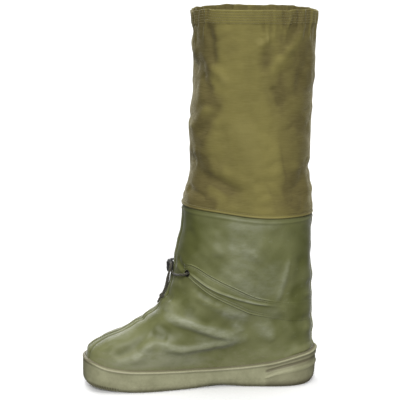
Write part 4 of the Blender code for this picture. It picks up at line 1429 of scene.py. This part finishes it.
def pleatFolds(shape):
    # short upright folds that hang from the hem, none on the smooth part of the medial side
    random = np.random.default_rng(shape["pleatSeed"])
    folds = []
    for start in np.linspace(0, 360, shape["pleats"], endpoint=False):
        degrees = start + random.uniform(-2.4, 2.4)
        lift = random.uniform(0.9, 2.0) * random.choice([-1.0, 1.0])
        length = random.uniform(12, 50)
        lean = random.uniform(-7, 7)
        width = random.uniform(1.5, 3.0)
        if 44 < degrees < 92:
            continue
        route = [(degrees, 536), (degrees + lean / 2, 530 - length / 2), (degrees + lean, 530 - length)]
        folds.append((lift, width, route))
    return folds


def hung(folds):
    # each line carried on above the rim, so that a pleat has its full height there
    above = np.array([0, 0, 12.0])
    return [(lift, width, np.vstack([line[:1] + above, line])) for lift, width, line in laid(folds)]


shaftFolds = laid(shaftFolds)
hemPleats = hung(pleatFolds(shaftShape))

# Painted highlights (above 0) and painted shade (below 0) on the textile.
shaftPaintedLight = laid([
    (-0.95, 13.0, [(16, 524), (22, 503), (28, 480), (33, 456)]),
    (-0.60, 7.0, [(46, 522), (44, 507), (47, 488)]),
    (-0.95, 12.0, [(12, 434), (30, 423), (46, 414), (60, 404)]),
    (0.55, 6.0, [(30, 456), (40, 444), (50, 432)]),
    (-0.60, 14.0, [(24, 398), (32, 370), (34, 342)]),
    (-0.60, 12.0, [(22, 335), (30, 308)]),
    (-1.10, 6.5, [(22, 313), (46, 304), (61, 294), (76, 281)]),
    (-0.90, 5.0, [(2, 288), (16, 285), (32, 278)]),
    (-0.85, 13.0, [(102, 526), (122, 520), (150, 520)]),
    (-0.60, 9.0, [(100, 492), (96, 474), (98, 456)]),
    (-0.75, 22.0, [(142, 500), (148, 460), (150, 415)]),
    (-0.55, 12.0, [(104, 458), (110, 430), (112, 404)]),
    (-0.45, 24.0, [(130, 400), (134, 360), (134, 325)]),
    (-0.95, 16.0, [(138, 312), (130, 292), (118, 276)]),
    (-0.30, 20.0, [(56, 512), (60, 470)]),
    (-0.70, 9.0, [(108, 506), (112, 488), (110, 470)]),
    (-1.40, 12.0, [(24, 285), (34, 280), (46, 273), (62, 267)]),
    (-0.65, 9.0, [(36, 326), (50, 323), (64, 317)]),
    (-1.85, 13.0, [(154, 300), (143, 292), (131, 281), (120, 271)]),
    (-0.80, 8.0, [(157, 304), (150, 298), (136, 287)]),
    (-0.70, 6.0, [(26, 282), (33, 280), (40, 278)]),
    (-0.30, 16.0, [(60, 370), (72, 330), (92, 290)]),
    (0.35, 28.0, [(78, 400), (82, 350), (86, 300)]),
    (0.45, 4.5, [(134, 508), (126, 490), (119, 474)]),
    (0.40, 5.0, [(114, 470), (108, 455), (102, 440)]),
    (0.50, 6.0, [(92, 498), (86, 490)]),
    (0.60, 3.5, [(60, 256), (84, 252), (108, 251), (132, 250)]),
    (-0.70, 18.0, [(214, 500), (212, 440), (216, 380)]),
    (0.50, 24.0, [(280, 480), (276, 420), (270, 360)]),
    (-0.80, 12.0, [(330, 330), (316, 306), (300, 292)]),
    (-0.60, 14.0, [(340, 470), (334, 430), (332, 390)]),
    (-0.80, 12.0, [(226, 310), (232, 290), (238, 272)]),
])


def shaftLift(angle, points):
    # the lap's step, the folds, the slow waves, the hem's step and the grooves where it is stitched, and the
    # painted light and shade that go with them
    shape = shaftShape
    down = heightOf(angle, topLevel) - points[..., 2]
    up = points[..., 2] - (heightOf(angle, jointLevel) - lapDip(angle))
    calmAt, calmWidth = shape["calmAt"]
    calm = bump(np.degrees(angle) - calmAt, calmWidth)
    broad, broadLines = creases(points, *shape["facets"])
    small, smallLines = creases(points, *shape["smallFacets"])
    facets = (broad + small) * (1 - 0.75 * calm)
    folds = foldLift(points, shaftFolds) + facets
    pleats = foldLift(points, hemPleats) * (0.8 + 0.2 * ease((down - 12) / 12))
    fromFront = degreesFromFront(angle)
    # painted light, and painted shade in the valleys of the creases, less on the flat medial side
    tones = foldLift(points, shaftPaintedLight) - (0.28 * broadLines + 0.16 * smallLines) * (1 - 0.85 * calm)
    # painted shade towards the front and the back of the leg
    tones = tones - 1.05 * ease((54 - fromFront) / 24) - 0.8 * ease((fromFront - 90) / 46)
    free = ease(up / 14) * (0.35 + 0.65 * ease((down - 14) / 16))
    lap = shape["lap"] * (1 - 0.85 * ease((up - 12) / 22)) + bumps(up, shape["lapEdge"])
    hem = shape["hemLift"] * ease((19.5 - down) / 2.4)
    rows = sum(bump(down - row, 0.75) for row in shape["hemRows"]) * (0.25 + 0.75 * calm)
    puckers = rippled(points, shape["hemPuckers"]) * ease((20 - down) / 4)
    waves = 0.55 * free * rippled(points, shape["waves"])
    lift = free * folds + waves + pleats + lap + hem - 0.4 * rows + puckers
    least = 0.9 - 4.9 * ease((up - 12) / 14)  # the lap never sinks into the upper
    lift = np.where(up < 30, np.maximum(lift, least), lift)
    # lighter on the folds and pleats, painted shade in the hem's stitched grooves, and the lap's painted
    # light
    paintedLight = 0.2 * free * folds + 0.42 * pleats + tones - 0.3 * rows + bumps(up, shape["lapPaintedLight"])
    return lift, paintedLight


def shaftRows(shape):
    # levels from the lap's edge to the top, closer together in the hem, and their heights
    hemHeight, hemRows = shape["hemGrid"]
    levels = np.linspace(jointLevel, topLevel, 400)
    heights = heightsUp(shape["levelledAt"], levels)
    split = heights[-1] - hemHeight
    wanted = np.concatenate([
        np.linspace(heights[0], split, shape["rows"] - hemRows, endpoint=False),
        np.linspace(split, heights[-1], hemRows),
    ])
    return np.interp(wanted, heights, levels), wanted


def rimDip(angle):
    # millimetres that the top edge lies below its ring
    fromFront = degreesFromFront(angle)
    dip = bumps(fromFront, shaftShape["rimDips"]) - bumps(np.degrees(angle), shaftShape["rimRises"])
    uneven = 0.5 * np.sin(7 * angle + 0.6) + 0.35 * np.sin(17 * angle) + 0.25 * np.sin(31 * angle + 2.0)
    return dip + uneven * ease(np.abs(fromFront - 74) / 20 - 0.9)


def shaftSurface(angle, level):
    # the outside of the textile, lower where the lap and the top edge dip, its smooth normal and its painted
    # light and shade
    base = skin(angle, level)
    normal = outward(angle, level)
    base[..., 2] -= lapDip(angle) * (1 - ease((level - jointLevel) / 1.2))
    lift, paintedLight = shaftLift(angle, base)
    base[..., 2] -= rimDip(angle) * ease((level - 13.2) / 2.2)
    return base + lift[..., None] * normal, normal, paintedLight


def makeShaft():
    # the outside, three rows round the folded hem, its inner face and the inside of the leg
    shape = shaftShape
    rowLevels, rowHeights = shaftRows(shape)
    angle, level = np.meshgrid(gridAngles(shape["columns"]), rowLevels)
    outside, normal, paintedLight = shaftSurface(angle, level)
    topRow = outside[-1:]
    inwards = -shape["hemWall"] / 2 * normal[-1:]
    rise = np.array([0.0, 0.0, 0.7])
    rounding = [
        topRow + (1 - math.cos(turn)) * inwards + math.sin(turn) * rise
        for turn in (math.pi * 0.25, math.pi * 0.5, math.pi * 0.75)
    ]
    down = heightOf(angle, topLevel) - skin(angle, level)[..., 2]
    thick = shape["wall"] + (shape["hemWall"] - shape["wall"]) * ease((20 - down) / 3)
    hemStart = shape["rows"] - shape["hemGrid"][1]
    low = np.linspace(0, hemStart - 1, shape["inside"]).astype(int)
    backwards = np.append(low, np.arange(hemStart, shape["rows"], 2))[::-1]
    inside = outside[backwards] - thick[backwards][..., None] * normal[backwards]
    points = np.concatenate([outside, *rounding, inside])
    # painted light over the top edge, and painted shade down the inside of the leg
    overEdge = paintedLight[-1:] + np.array([[0.3], [0.0], [-0.6]])
    values = {"paintedLight": np.concatenate([paintedLight, overEdge, paintedLight[backwards] * 0.3 - 0.9])}
    last = rowHeights[-1]
    over = last + np.array([1.0, 2.0, 3.0])
    heights = np.concatenate([rowHeights, over, 2 * last + 4 - rowHeights[backwards]])
    uv = clothUv(len(points), shape["columns"], shape["around"], heights)
    made = makeSurface("shaftCloth", points, textile, wrapRows=True, uv=uv, values=values)
    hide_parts("shaft")
    return made


shaft = makeShaft()
print("shaft folded")

# Outsole: a wall with its bead, the ledge at the heel and the toothed bottom edge, round a tread plate.
outsoleShape = {
    "columns": 860,
    "rows": 66,
    "bead": 0.6,
    "beadDrop": 2.4,
    "beadWidth": 1.2,
    "ledge": 3.5,
    "ledgeSpread": 30.0,
    "grooveDepth": 1.7,
    "grooveWidth": 1.5,
    "ridgeHeight": 1.5,
    "ridgeWidth": 1.5,
    "teeth": 3.7,  # pitch
    "toothDepth": 1.7,
    "toothHeight": 6.4,
    "wobble": [(0.16, 24.0, 31)],
    "plateInset": 12.0,  # edge of the hole that the tread plate fills, and heights over the tread
    "plateHeights": (6.0, 0.6),
}
sidewallTable = np.array([
    # inset, share of the way to the rim, lift, ledge share
    (7.0, 0.0, 0.0, 0.0),
    (4.4, 0.0, 0.5, 0.0),
    (2.6, 0.0, 2.2, 0.0),
    (0.9, 0.0, 4.8, 0.0),
    (0.4, 0.0, 8.0, 0.0),
    (0.3, 0.3, 1.0, 0.1),
    (0.2, 0.6, -6.0, 0.3),
    (0.3, 1.0, -9.0, 0.9),
    (0.2, 1.0, -6.0, 1.0),
    (0.0, 1.0, -3.5, 1.0),
    (0.1, 1.0, -2.2, 0.95),
    (0.9, 1.0, -1.0, 0.6),
    (2.4, 1.0, 0.0, 0.2),
    (4.3, 1.0, 0.9, 0.0),
    (4.7, 1.0, 0.2, 0.0),
])
heelLines = np.array([
    # y, height of the groove, height of the ridge
    (86.0, 22.5, 13.0),
    (91.0, 24.0, 15.0),
    (103.0, 27.5, 19.5),
    (115.0, 31.0, 23.0),
    (130.0, 34.0, 25.5),
    (150.0, 36.5, 27.5),
    (166.0, 37.5, 28.5),
])


def soleRelief(y, z, tread, rim, around):
    # extra reach outwards: bead under the rim, heel groove and ridge, and teeth along the bottom edge, and
    # the painted light that goes with them
    shape = outsoleShape
    within = np.clip(y, heelLines[0, 0], heelLines[-1, 0])
    groove = lookUp(heelLines, within, 1)
    ridge = lookUp(heelLines, within, 2)
    inHeel = ease((y - 87) / 7)
    place = placeOf(y)
    fore = 1 - ease((place - 0.02) / 0.05)
    cheek = bump(place - 0.13, 0.06)
    bead = bump(z - (rim - shape["beadDrop"]), shape["beadWidth"]) * (1 - 0.95 * fore)
    underBead = bump(z - (rim - 5.6), 1.5) * (0.3 + 0.7 * inHeel)
    cut = inHeel * bump(z - groove, shape["grooveWidth"])
    crown = inHeel * bump(z - ridge, shape["ridgeWidth"])
    below = inHeel * ease((ridge - z) / 2 + 0.5) * ease((z - tread) / 12)
    ends = np.maximum(ease((0.17 - place) / 0.04), ease((place - 0.90) / 0.03))
    low = ends * ease((shape["toothHeight"] - (z - tread)) / 2.2)
    tooth = low * (0.5 + 0.5 * np.cos(fullTurn * around / shape["teeth"])) ** 2
    reach = shape["bead"] * bead - 0.5 * underBead - shape["grooveDepth"] * cut + shape["ridgeHeight"] * crown
    reach = reach + 0.9 * below - shape["toothDepth"] * tooth
    # painted highlight on the bead and the ridge, painted shade in the groove, under the bead and in the
    # teeth
    light = 0.9 * bead + 1.1 * crown - 1.2 * cut - 0.35 * underBead - 1.2 * tooth
    # painted shade over the top of the toe's rim, darker on the heel, paler at the toe's cheek
    light = light - 0.9 * fore * ease((z - rim + 7.0) / 3.5) - 0.45 * inHeel + 0.35 * cheek
    # darker towards the bottom
    light = light - 0.5 * ease((12 - z + tread) / 8)
    return reach, light


def makeOutsole():
    # rows up the wall by the table, moved outwards by its relief, and down inside to the tread plate
    shape = outsoleShape
    steps = np.arange(len(sidewallTable), dtype=float)
    # more rows where the wall is tall
    evenly = np.linspace(0, 1, shape["rows"])
    at = np.interp(evenly, [0, 0.16, 0.30, 0.62, 0.78, 1.0], [0, 2, 4, 7, 9, len(steps) - 1])
    inset, share, lift, ledge = (smooth(at, steps, column)[:, None] for column in sidewallTable.T)
    angle = gridAngles(shape["columns"])[None, :]
    spread = bump(angle - math.pi, math.radians(shape["ledgeSpread"]))
    around = lengthsAlong(np.stack(footprint(angle[0]), axis=-1))[None, :]
    reachIn = inset - ledge * shape["ledge"] * spread
    x, y = footprint(angle + 0 * inset, reachIn)
    tread = treadHeight(placeOf(y))
    rim = rimHeight(placeOf(y))
    z = tread * (1 - share) + rim * share + lift
    reach, light = soleRelief(y, z, tread, rim, around)
    fade = (inset < 3.4) * ease((4.6 - inset) / 1.5)
    wobble = rippled(np.stack([x, y, z], axis=-1), shape["wobble"])
    x, y = footprint(angle + 0 * inset, reachIn - fade * (reach + wobble))
    floor = floorRing(angle, soleShape["cupWall"], 0.0)
    halfway = floor.copy()
    halfway[..., 2] = (rimHeight(placeOf(floor[..., 1])) + floor[..., 2]) / 2
    innerX, innerY = footprint(angle, shape["plateInset"])
    under = treadHeight(placeOf(innerY))
    plate = [np.stack([innerX, innerY, under + height], axis=-1) for height in shape["plateHeights"]]
    points = np.concatenate([np.stack([x, y, z], axis=-1), halfway, floor, *plate])
    # painted shade on the flat top of the rim
    light = light * fade - 1.1 * ease((inset - 0.5) / 1.0) * (share > 0.9)
    values = {"paintedLight": np.concatenate([light, np.zeros((4, shape["columns"]))])}
    made = makeSurface("outsoleRubber", points, soleRubber, wrapRows=True, values=values)
    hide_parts("outsole")
    return made


outsole = makeOutsole()
print("outsole moulded")

treadShape = {
    "rows": 450,
    "columns": 86,
    "edge": 6.6,
    "thickness": 7.0,
    "pitch": 11.0,
    "width": 4.0,
    "depth": 2.5,
    "margin": 13.0,
    "foreFirst": -132.0,
    "foreCount": 8,
    "heelFirst": 84.0,
    "heelCount": 6,
    "ribHeight": 0.22,  # fine ribs in the floor of each bar
    "ribPitch": 2.6,
    "grain": [(0.10, 8.0, 41)],
}


def trench(y, inFromSide, shape):
    # depth of the tread's bars: a steep-sided groove at each pitch, closed before the edge
    fore = np.clip(np.round((y - shape["foreFirst"]) / shape["pitch"]), 0, shape["foreCount"] - 1)
    heel = np.clip(np.round((y - shape["heelFirst"]) / shape["pitch"]), 0, shape["heelCount"] - 1)
    off = np.minimum(
        np.abs(y - shape["foreFirst"] - fore * shape["pitch"]),
        np.abs(y - shape["heelFirst"] - heel * shape["pitch"]),
    )
    wall = ease((shape["width"] / 2 + 0.25 - off) / 0.5)
    return shape["depth"] * wall * ease((inFromSide - shape["margin"]) / 0.5)


def makeTread():
    # across the sole from side to side, and along it from toe to heel, thickened upwards
    shape = treadShape
    half = np.linspace(0.004, math.pi - 0.004, 1500)
    rightX, rightY = footprint(half, shape["edge"])
    leftX, leftY = footprint(fullTurn - half, shape["edge"])
    y = np.linspace(max(rightY[0], leftY[0]) + 0.2, min(rightY[-1], leftY[-1]) - 0.2, shape["rows"])
    right = np.interp(y, rightY, rightX)[:, None]
    left = np.interp(y, leftY, leftX)[:, None]
    x = left + (right - left) * np.linspace(0, 1, shape["columns"])[None, :]
    y = np.broadcast_to(y[:, None], x.shape)
    base = treadHeight(placeOf(y))
    depth = trench(y, np.minimum(x - left, right - x) + shape["edge"], shape)
    ribs = shape["ribHeight"] * ease(0.5 + 1.2 * np.cos(fullTurn * x / shape["ribPitch"]))
    grain = rippled(np.stack([x, y, base], axis=-1), shape["grain"])
    lower = base + depth - ribs * ease((depth - 1.8) / 0.4) + np.where(depth < 0.2, 0.08 * (1 + grain), 0.0)
    bottom = np.stack([x, y, lower], axis=-1)
    upper = np.stack([x, y, base + shape["thickness"]], axis=-1)[:, ::-1][:, ::5]
    points = np.concatenate([bottom, upper], axis=1)
    paintedLight = np.zeros(points.shape[:2])
    # painted shade in the bars' grooves
    paintedLight[:, : shape["columns"]] = -0.9 * depth / shape["depth"]
    makeSurface("treadPlate", points, soleRubber, caps=True, values={"paintedLight": paintedLight})


makeTread()
print("tread cut")

insoleShape = {
    "gap": 0.3,
    "thickness": 6.0,
    "edge": 1.2,  # rounding
    "lining": 9.0,
    "columns": 240,
    "rings": 26,
    "middleEnd": 140.0,  # how far the middle line runs towards toe and heel
    "worn": [(0.25, 30.0, 51)],
}


def makeInsole():
    # rings from the edge to the middle line, above and below, with a softly hollowed top
    shape = insoleShape
    inset = soleShape["cupWall"] + soleShape["cupGap"] + shape["lining"] + 2 * shape["gap"]
    thickness = shape["thickness"]
    inwards = np.array([0.0, 0.0, 0.35, shape["edge"]])[:, None]
    heights = np.array([shape["gap"], thickness - shape["edge"], thickness - 0.5, thickness])[:, None]
    edge = floorRing(gridAngles(shape["columns"]) + 0 * inwards, inset + inwards, heights)
    share = np.linspace(0.04, 1, shape["rings"])[:, None]
    lastX, lastY = edge[-1, :, :2].T
    x = lastX * (1 - share)
    y = lastY + (np.clip(lastY, -shape["middleEnd"], shape["middleEnd"]) - lastY) * share * 0.9
    dish = 0.5 * ease(share) + rippled(np.stack([x, y, 0 * x], axis=-1), shape["worn"])
    top = np.stack([x, y, floorHeight(placeOf(y)) + thickness - dish], axis=-1)
    made = makeSurface("insoleFelt", np.concatenate([edge, top]), felt, caps=True)
    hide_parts("insole")


makeInsole()
print("insole laid")

# Lining: a closed base inside the cloth, and tapered curly locks of pile all over it.
liningShape = {
    "columns": 130,
    "outer": -3.2,
    "inner": -6.8,
    "top": 15.0,  # level where the hem begins
    "spacing": 4.3,
    "length": 4.6,
    "thick": 1.9,
    "around": 430,  # millimetres that the locks' columns share
    "lumps": [(0.8, 9.0, 62), (0.6, 28.0, 63)],
    "locks": [  # name, from and to which level, how much further apart, seed
        ("pileTop", 12.6, 14.95, 1.0, 64),
        ("pileMiddle", 9.0, 12.6, 1.5, 65),
        ("pileLow", 2.0, 9.0, 2.4, 66),
    ],
}


def liningLift(level, points):
    # the lining sinks with the hollows of the cloth outside it
    folds = np.where(level < jointLevel, foldLift(points, upperFolds), foldLift(points, shaftFolds))
    return folds.clip(-4.5, 0.0)


def makeLiningBase():
    # lumpy rows down the inside of the leg, and smooth ones back up against the cloth
    shape = liningShape
    levels = np.concatenate([np.linspace(shape["top"] - 0.02, 1.0, 74), [0.6]])
    angle, level = np.meshgrid(gridAngles(shape["columns"]), levels)
    base = skin(angle, level)
    normal = outward(angle, level)
    sunk = liningLift(level, base)
    lumps = rippled(base, shape["lumps"])
    inner = base + (shape["inner"] + lumps + 0.6 * sunk)[..., None] * normal
    outer = (base + (shape["outer"] + sunk)[..., None] * normal)[::-1]
    points = np.concatenate([inner, outer])
    values = {"tip": np.full(points.shape[:2], 0.15), "shade": np.zeros(points.shape[:2])}
    makeSurface("liningBase", points, pile, wrapRows=True, values=values)


def sideFaces(rings):
    # four quads between each ring of four corners and the next
    return [
        (4 * ring + i, 4 * ring + (i + 1) % 4, 4 * ring + (i + 1) % 4 + 4, 4 * ring + i + 4)
        for ring in range(rings - 1)
        for i in range(4)
    ]


def lockTemplate():
    # four rings of four corners that curl sideways and narrow, and a point
    rings = np.array([(0.0, 0.0, 0.55), (0.34, 0.10, 0.62), (0.66, 0.34, 0.50), (0.90, 0.62, 0.28)])
    points = [
        (aside + size * math.cos(turn), size * math.sin(turn), up)
        for up, aside, size in rings
        for turn in gridAngles(4)
    ]
    points.append((0.80, 0.0, 1.0))
    faces = [(3, 2, 1, 0), *sideFaces(4), *((12 + i, 12 + (i + 1) % 4, 16) for i in range(4))]
    return np.array(points), faces, np.append(np.repeat([0.0, 0.35, 0.75, 0.95], 4), 1.0)


def makeLocks(name, lowLevel, highLevel, apart, seed):
    # one lock for each cell of a jittered grid over the inside of the leg, leaning mostly downwards
    shape = liningShape
    spacing = shape["spacing"] * apart
    random = np.random.default_rng(seed)
    levels = np.linspace(lowLevel, highLevel, 200)
    heights = heightsUp(90, levels)
    rows = int((heights[-1] - heights[0]) / spacing)
    columns = int(shape["around"] / spacing)
    row, column = np.meshgrid(np.arange(rows), np.arange(columns), indexing="ij")
    row = (row + random.uniform(-0.45, 0.45, row.shape)).ravel()
    angle = (column.ravel() + random.uniform(-0.45, 0.45, row.shape) + (row * 0.5)) * fullTurn / columns
    angle = np.mod(angle, fullTurn)
    level = np.interp(heights[0] + (row + 0.5) * spacing, heights, levels)
    level = np.clip(level, lowLevel, highLevel)
    normal = outward(angle, level)
    centre = skin(angle, level) + (shape["inner"] + 1.0) * normal
    tilt = random.uniform(-0.6, 0.6, (len(row), 3))
    up = unit(-normal + 0.55 * tilt + np.array([0.0, 0.0, -0.35]))
    side = unit(np.cross(up, random.normal(size=(len(row), 3))))
    across = np.cross(up, side)
    size = random.uniform(0.75, 1.25, len(row))[:, None]
    thick = shape["thick"] * apart
    frames = (centre, side * size * thick, across * size * thick, up * size * shape["length"])
    template, faces, tip = lockTemplate()
    shade = np.repeat(random.uniform(0, 1, len(row)) ** 1.5, len(template))
    values = {"tip": np.tile(tip, len(row)), "shade": shade}
    makeCopies(name, template, faces, frames, pile, values)


makeLiningBase()
for facts in liningShape["locks"]:
    makeLocks(*facts)
print("pile set")

# Stitches: short capsules laid end to end with gaps, each sunk a little at its ends.
stitchShape = {
    "length": 2.3,
    "gap": 0.9,
    "radius": 0.36,
    "fromSeam": 3.4,  # to each side of the front seam
}


def stitchTemplate():
    # six rings of four corners along y, bowed upwards
    places = np.array([-0.5, -0.42, -0.2, 0.2, 0.42, 0.5])
    sizes = np.array([0.25, 0.8, 1.0, 1.0, 0.8, 0.25])
    points = [
        (size * math.cos(turn), place, size * math.sin(turn) + 1.0 - 3.4 * place**2)
        for place, size in zip(places, sizes)
        for turn in gridAngles(4)
    ]
    return np.array(points), [(3, 2, 1, 0), (20, 21, 22, 23), *sideFaces(6)]


def stitchFrames(line, normal, shape):
    # stitches at equal steps along a line of points on the cloth
    along = lengthsAlong(line)
    step = shape["length"] + shape["gap"]
    at = np.arange(step / 2, along[-1], step)

    def between(values, places):
        return np.stack([np.interp(places, along, column) for column in values.T], axis=-1)

    up = unit(between(normal, at))
    forward = unit(between(line, at + 0.5) - between(line, at - 0.5))
    side = unit(np.cross(forward, up))
    return between(line, at), side * shape["radius"], forward * shape["length"], up * shape["radius"]


def makeStitches(name, lines, finish):
    # every stitch of some seams as one mesh
    template, faces = stitchTemplate()
    frames = zip(*(stitchFrames(line, normal, stitchShape) for line, normal in lines))
    return makeCopies(name, template, faces, [np.concatenate(part) for part in frames], finish)


def hemLines():
    # level rings, each a set distance under the top
    angle = np.linspace(0, fullTurn, 900)
    for row in shaftShape["hemRows"]:
        face, normal, _ = shaftSurface(angle, levelAt(angle, heightOf(angle, topLevel) - row))
        yield face + 0.05 * normal, normal


def jointLines():
    # one ring just above the lap's edge
    angle = np.linspace(0, fullTurn, 900)
    height = heightOf(angle, jointLevel) + shaftShape["lapStitch"]
    face, normal, _ = shaftSurface(angle, levelAt(angle, height))
    yield face + 0.05 * normal, normal


def tapeLines():
    # two lines inside each edge, from the ends of the tape to where it is pressed flat
    for first, last in ((tapeShape["start"] + 1, 110), (250, 359 - tapeShape["start"])):
        degrees = np.linspace(first, last, 400)
        angle = np.radians(degrees)
        for side in (-1, 1):
            for inFrom in tapeShape["stitched"]:
                across = side * np.maximum(1 - inFrom / tapeReach(degrees, side), 0.4)
                face, normal, _ = upperSurface(angle, levelAt(angle, tapeHeight(degrees, across)))
                yield face + (tapeLift(degrees, across) - 0.1)[:, None] * normal, normal


def stripLines():
    # two upright lines, one inside each edge of the back strip
    low, high, _ = stripShape["heights"]
    heights = np.linspace(low + 2, high - 2, 300)
    middle = np.full(300, math.pi)
    aside = (stripShape["halfWidth"] - stripShape["stitched"]) / spreadAt(middle, levelAt(middle, heights))
    for side in (-1, 1):
        angle = middle + side * aside
        face, normal, _ = upperSurface(angle, levelAt(angle, heights))
        yield face + 0.85 * normal, normal


def frontLines():
    # two lines along the front seam, one to each side of it
    level = np.linspace(0.9, 8.9, 400)
    aside = stitchShape["fromSeam"] / spreadAt(0 * level, level)
    for side in (-1, 1):
        face, normal, _ = upperSurface(side * aside, level)
        yield face + 0.1 * normal, normal


hemStitches = makeStitches("hemStitches", hemLines(), textileThread)
jointStitches = makeStitches("jointStitches", jointLines(), textileThread)
tapeStitches = makeStitches("tapeStitches", tapeLines(), clothThread)
seamLines = [*stripLines(), *frontLines()]
seamStitches = makeStitches("seamStitches", seamLines, clothThread)

print("stitched")

eyeletProfile = np.array([
    # radius, height over its seat
    (2.35, -1.6),
    (3.1, -1.6),
    (3.2, -0.2),
    (3.4, 0.15),
    (4.7, 0.15),
    (5.0, 0.45),
    (4.95, 0.85),
    (4.5, 1.25),
    (3.9, 1.45),
    (3.3, 1.4),
    (2.7, 1.05),
    (2.4, 0.5),
    (2.3, -0.4),
])


def makeEyelet(name, node, lean):
    # its profile turned about the cloth's normal through the middle of its solid
    low, high = (np.array(corner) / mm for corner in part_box(node))
    seat = (low + high) / 2
    angles = np.linspace(0, fullTurn, 1441)
    onRing = skin(angles, levelAt(angles, np.full(1441, seat[2])))
    nearest = angles[[np.linalg.norm(onRing - seat, axis=1).argmin()]]
    normal = outward(nearest, levelAt(nearest, seat[2:]))[0]
    normal = unit(normal + np.array([0.0, -lean, 0.0]))
    side = unit(np.cross(normal, (0.0, 0.0, 1.0)))
    across = np.cross(normal, side)
    closed = np.vstack([eyeletProfile, eyeletProfile[:1]])
    rows = np.linspace(0, len(eyeletProfile), 52, endpoint=False)
    radius, height = (np.interp(rows, np.arange(len(closed)), column)[:, None] for column in closed.T)
    turn = gridAngles(48)[None, :]
    radius = radius + 0.06 * np.sin(5 * turn + 1.0) * (radius > 4)  # dents round its edge
    points = placed(seat, (radius * np.cos(turn), side), (radius * np.sin(turn), across), (height, normal))
    made = makeSurface(name, points, eyeletMetal, wrapRows=True)
    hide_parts(node)


for place in ("ankle_eyelet_medial", "ankle_eyelet_lateral", "hem_eyelet_front", "hem_eyelet_back"):
    words = place.split("_")
    lean = 0.55 if words[0] == "ankle" else 0.0  # the pull of the cord turns the ankle's to the front
    makeEyelet(words[0] + "Eyelet" + words[2].title(), place, lean)
print("eyelets set")

stageSettings = {
    "reach": 60.0,  # metres, so that no horizon shows
    "floor": (0.93, 0.93, 0.93),
    "fleck": (0.96, 0.96, 0.96),
    "world": (1.0, 1.0, 1.0),
    "worldStrength": 0.14,
}


def makeFloor(settings):
    # one square of pale paper
    half = settings["reach"] / 2
    mesh = bpy.data.meshes.new("floor")
    corners = [(-half, -half, 0), (half, -half, 0), (half, half, 0), (-half, half, 0)]
    mesh.from_pydata(corners, [], [(0, 1, 2, 3)])
    made, tree, shader = startMaterial("floorPaper")
    grain = noise(tree, objectPlace(tree), 300.0, 3.0, 0.6)
    tone = paint(tree, settings["floor"], [(settings["fleck"], (grain, 0.3, 0.7))])
    fill(tree, shader, {"Base Color": tone, "Roughness": 0.9})
    mesh.materials.append(made)
    floor = bpy.data.objects.new("floor", mesh)
    bpy.context.scene.collection.objects.link(floor)
    floor.visible_diffuse = False
    floor.visible_glossy = False


lights = {
    # soft suns: place, aim, angle across in degrees, strength
    "front": ((3.0, -0.30, 1.9), (0.0, 0.0, 0.25), 26.0, 3.15),
    "top": ((0.25, -0.15, 3.0), (0.0, 0.0, 0.0), 40.0, 1.5),
    "lateral": ((-2.75, -0.9, 1.6), (0.0, 0.0, 0.2), 34.0, 1.45),
    "heel": ((-1.6, 2.4, 1.7), (0.0, 0.0, 0.2), 50.0, 0.7),
}


def makeLight(name, place, aim, across, strength):
    # a sun that shines from its place towards its aim
    data = bpy.data.lights.new(name, "SUN")
    data.energy = strength
    data.angle = math.radians(across)
    made = bpy.data.objects.new(name, data)
    made.location = place
    made.rotation_euler = aimed(place, aim)
    bpy.context.scene.collection.objects.link(made)


def makeWorld(settings):
    # even light from all round
    world = bpy.data.worlds.new("studio")
    world.use_nodes = True
    sockets = {"Color": colour(settings["world"]), "Strength": settings["worldStrength"]}
    fill(world.node_tree, world.node_tree.nodes["Background"], sockets)
    bpy.context.scene.world = world


makeFloor(stageSettings)
for title, facts in lights.items():
    makeLight(title, *facts)
makeWorld(stageSettings)
bpy.context.scene.view_settings.view_transform = "Standard"
print("stage lit")
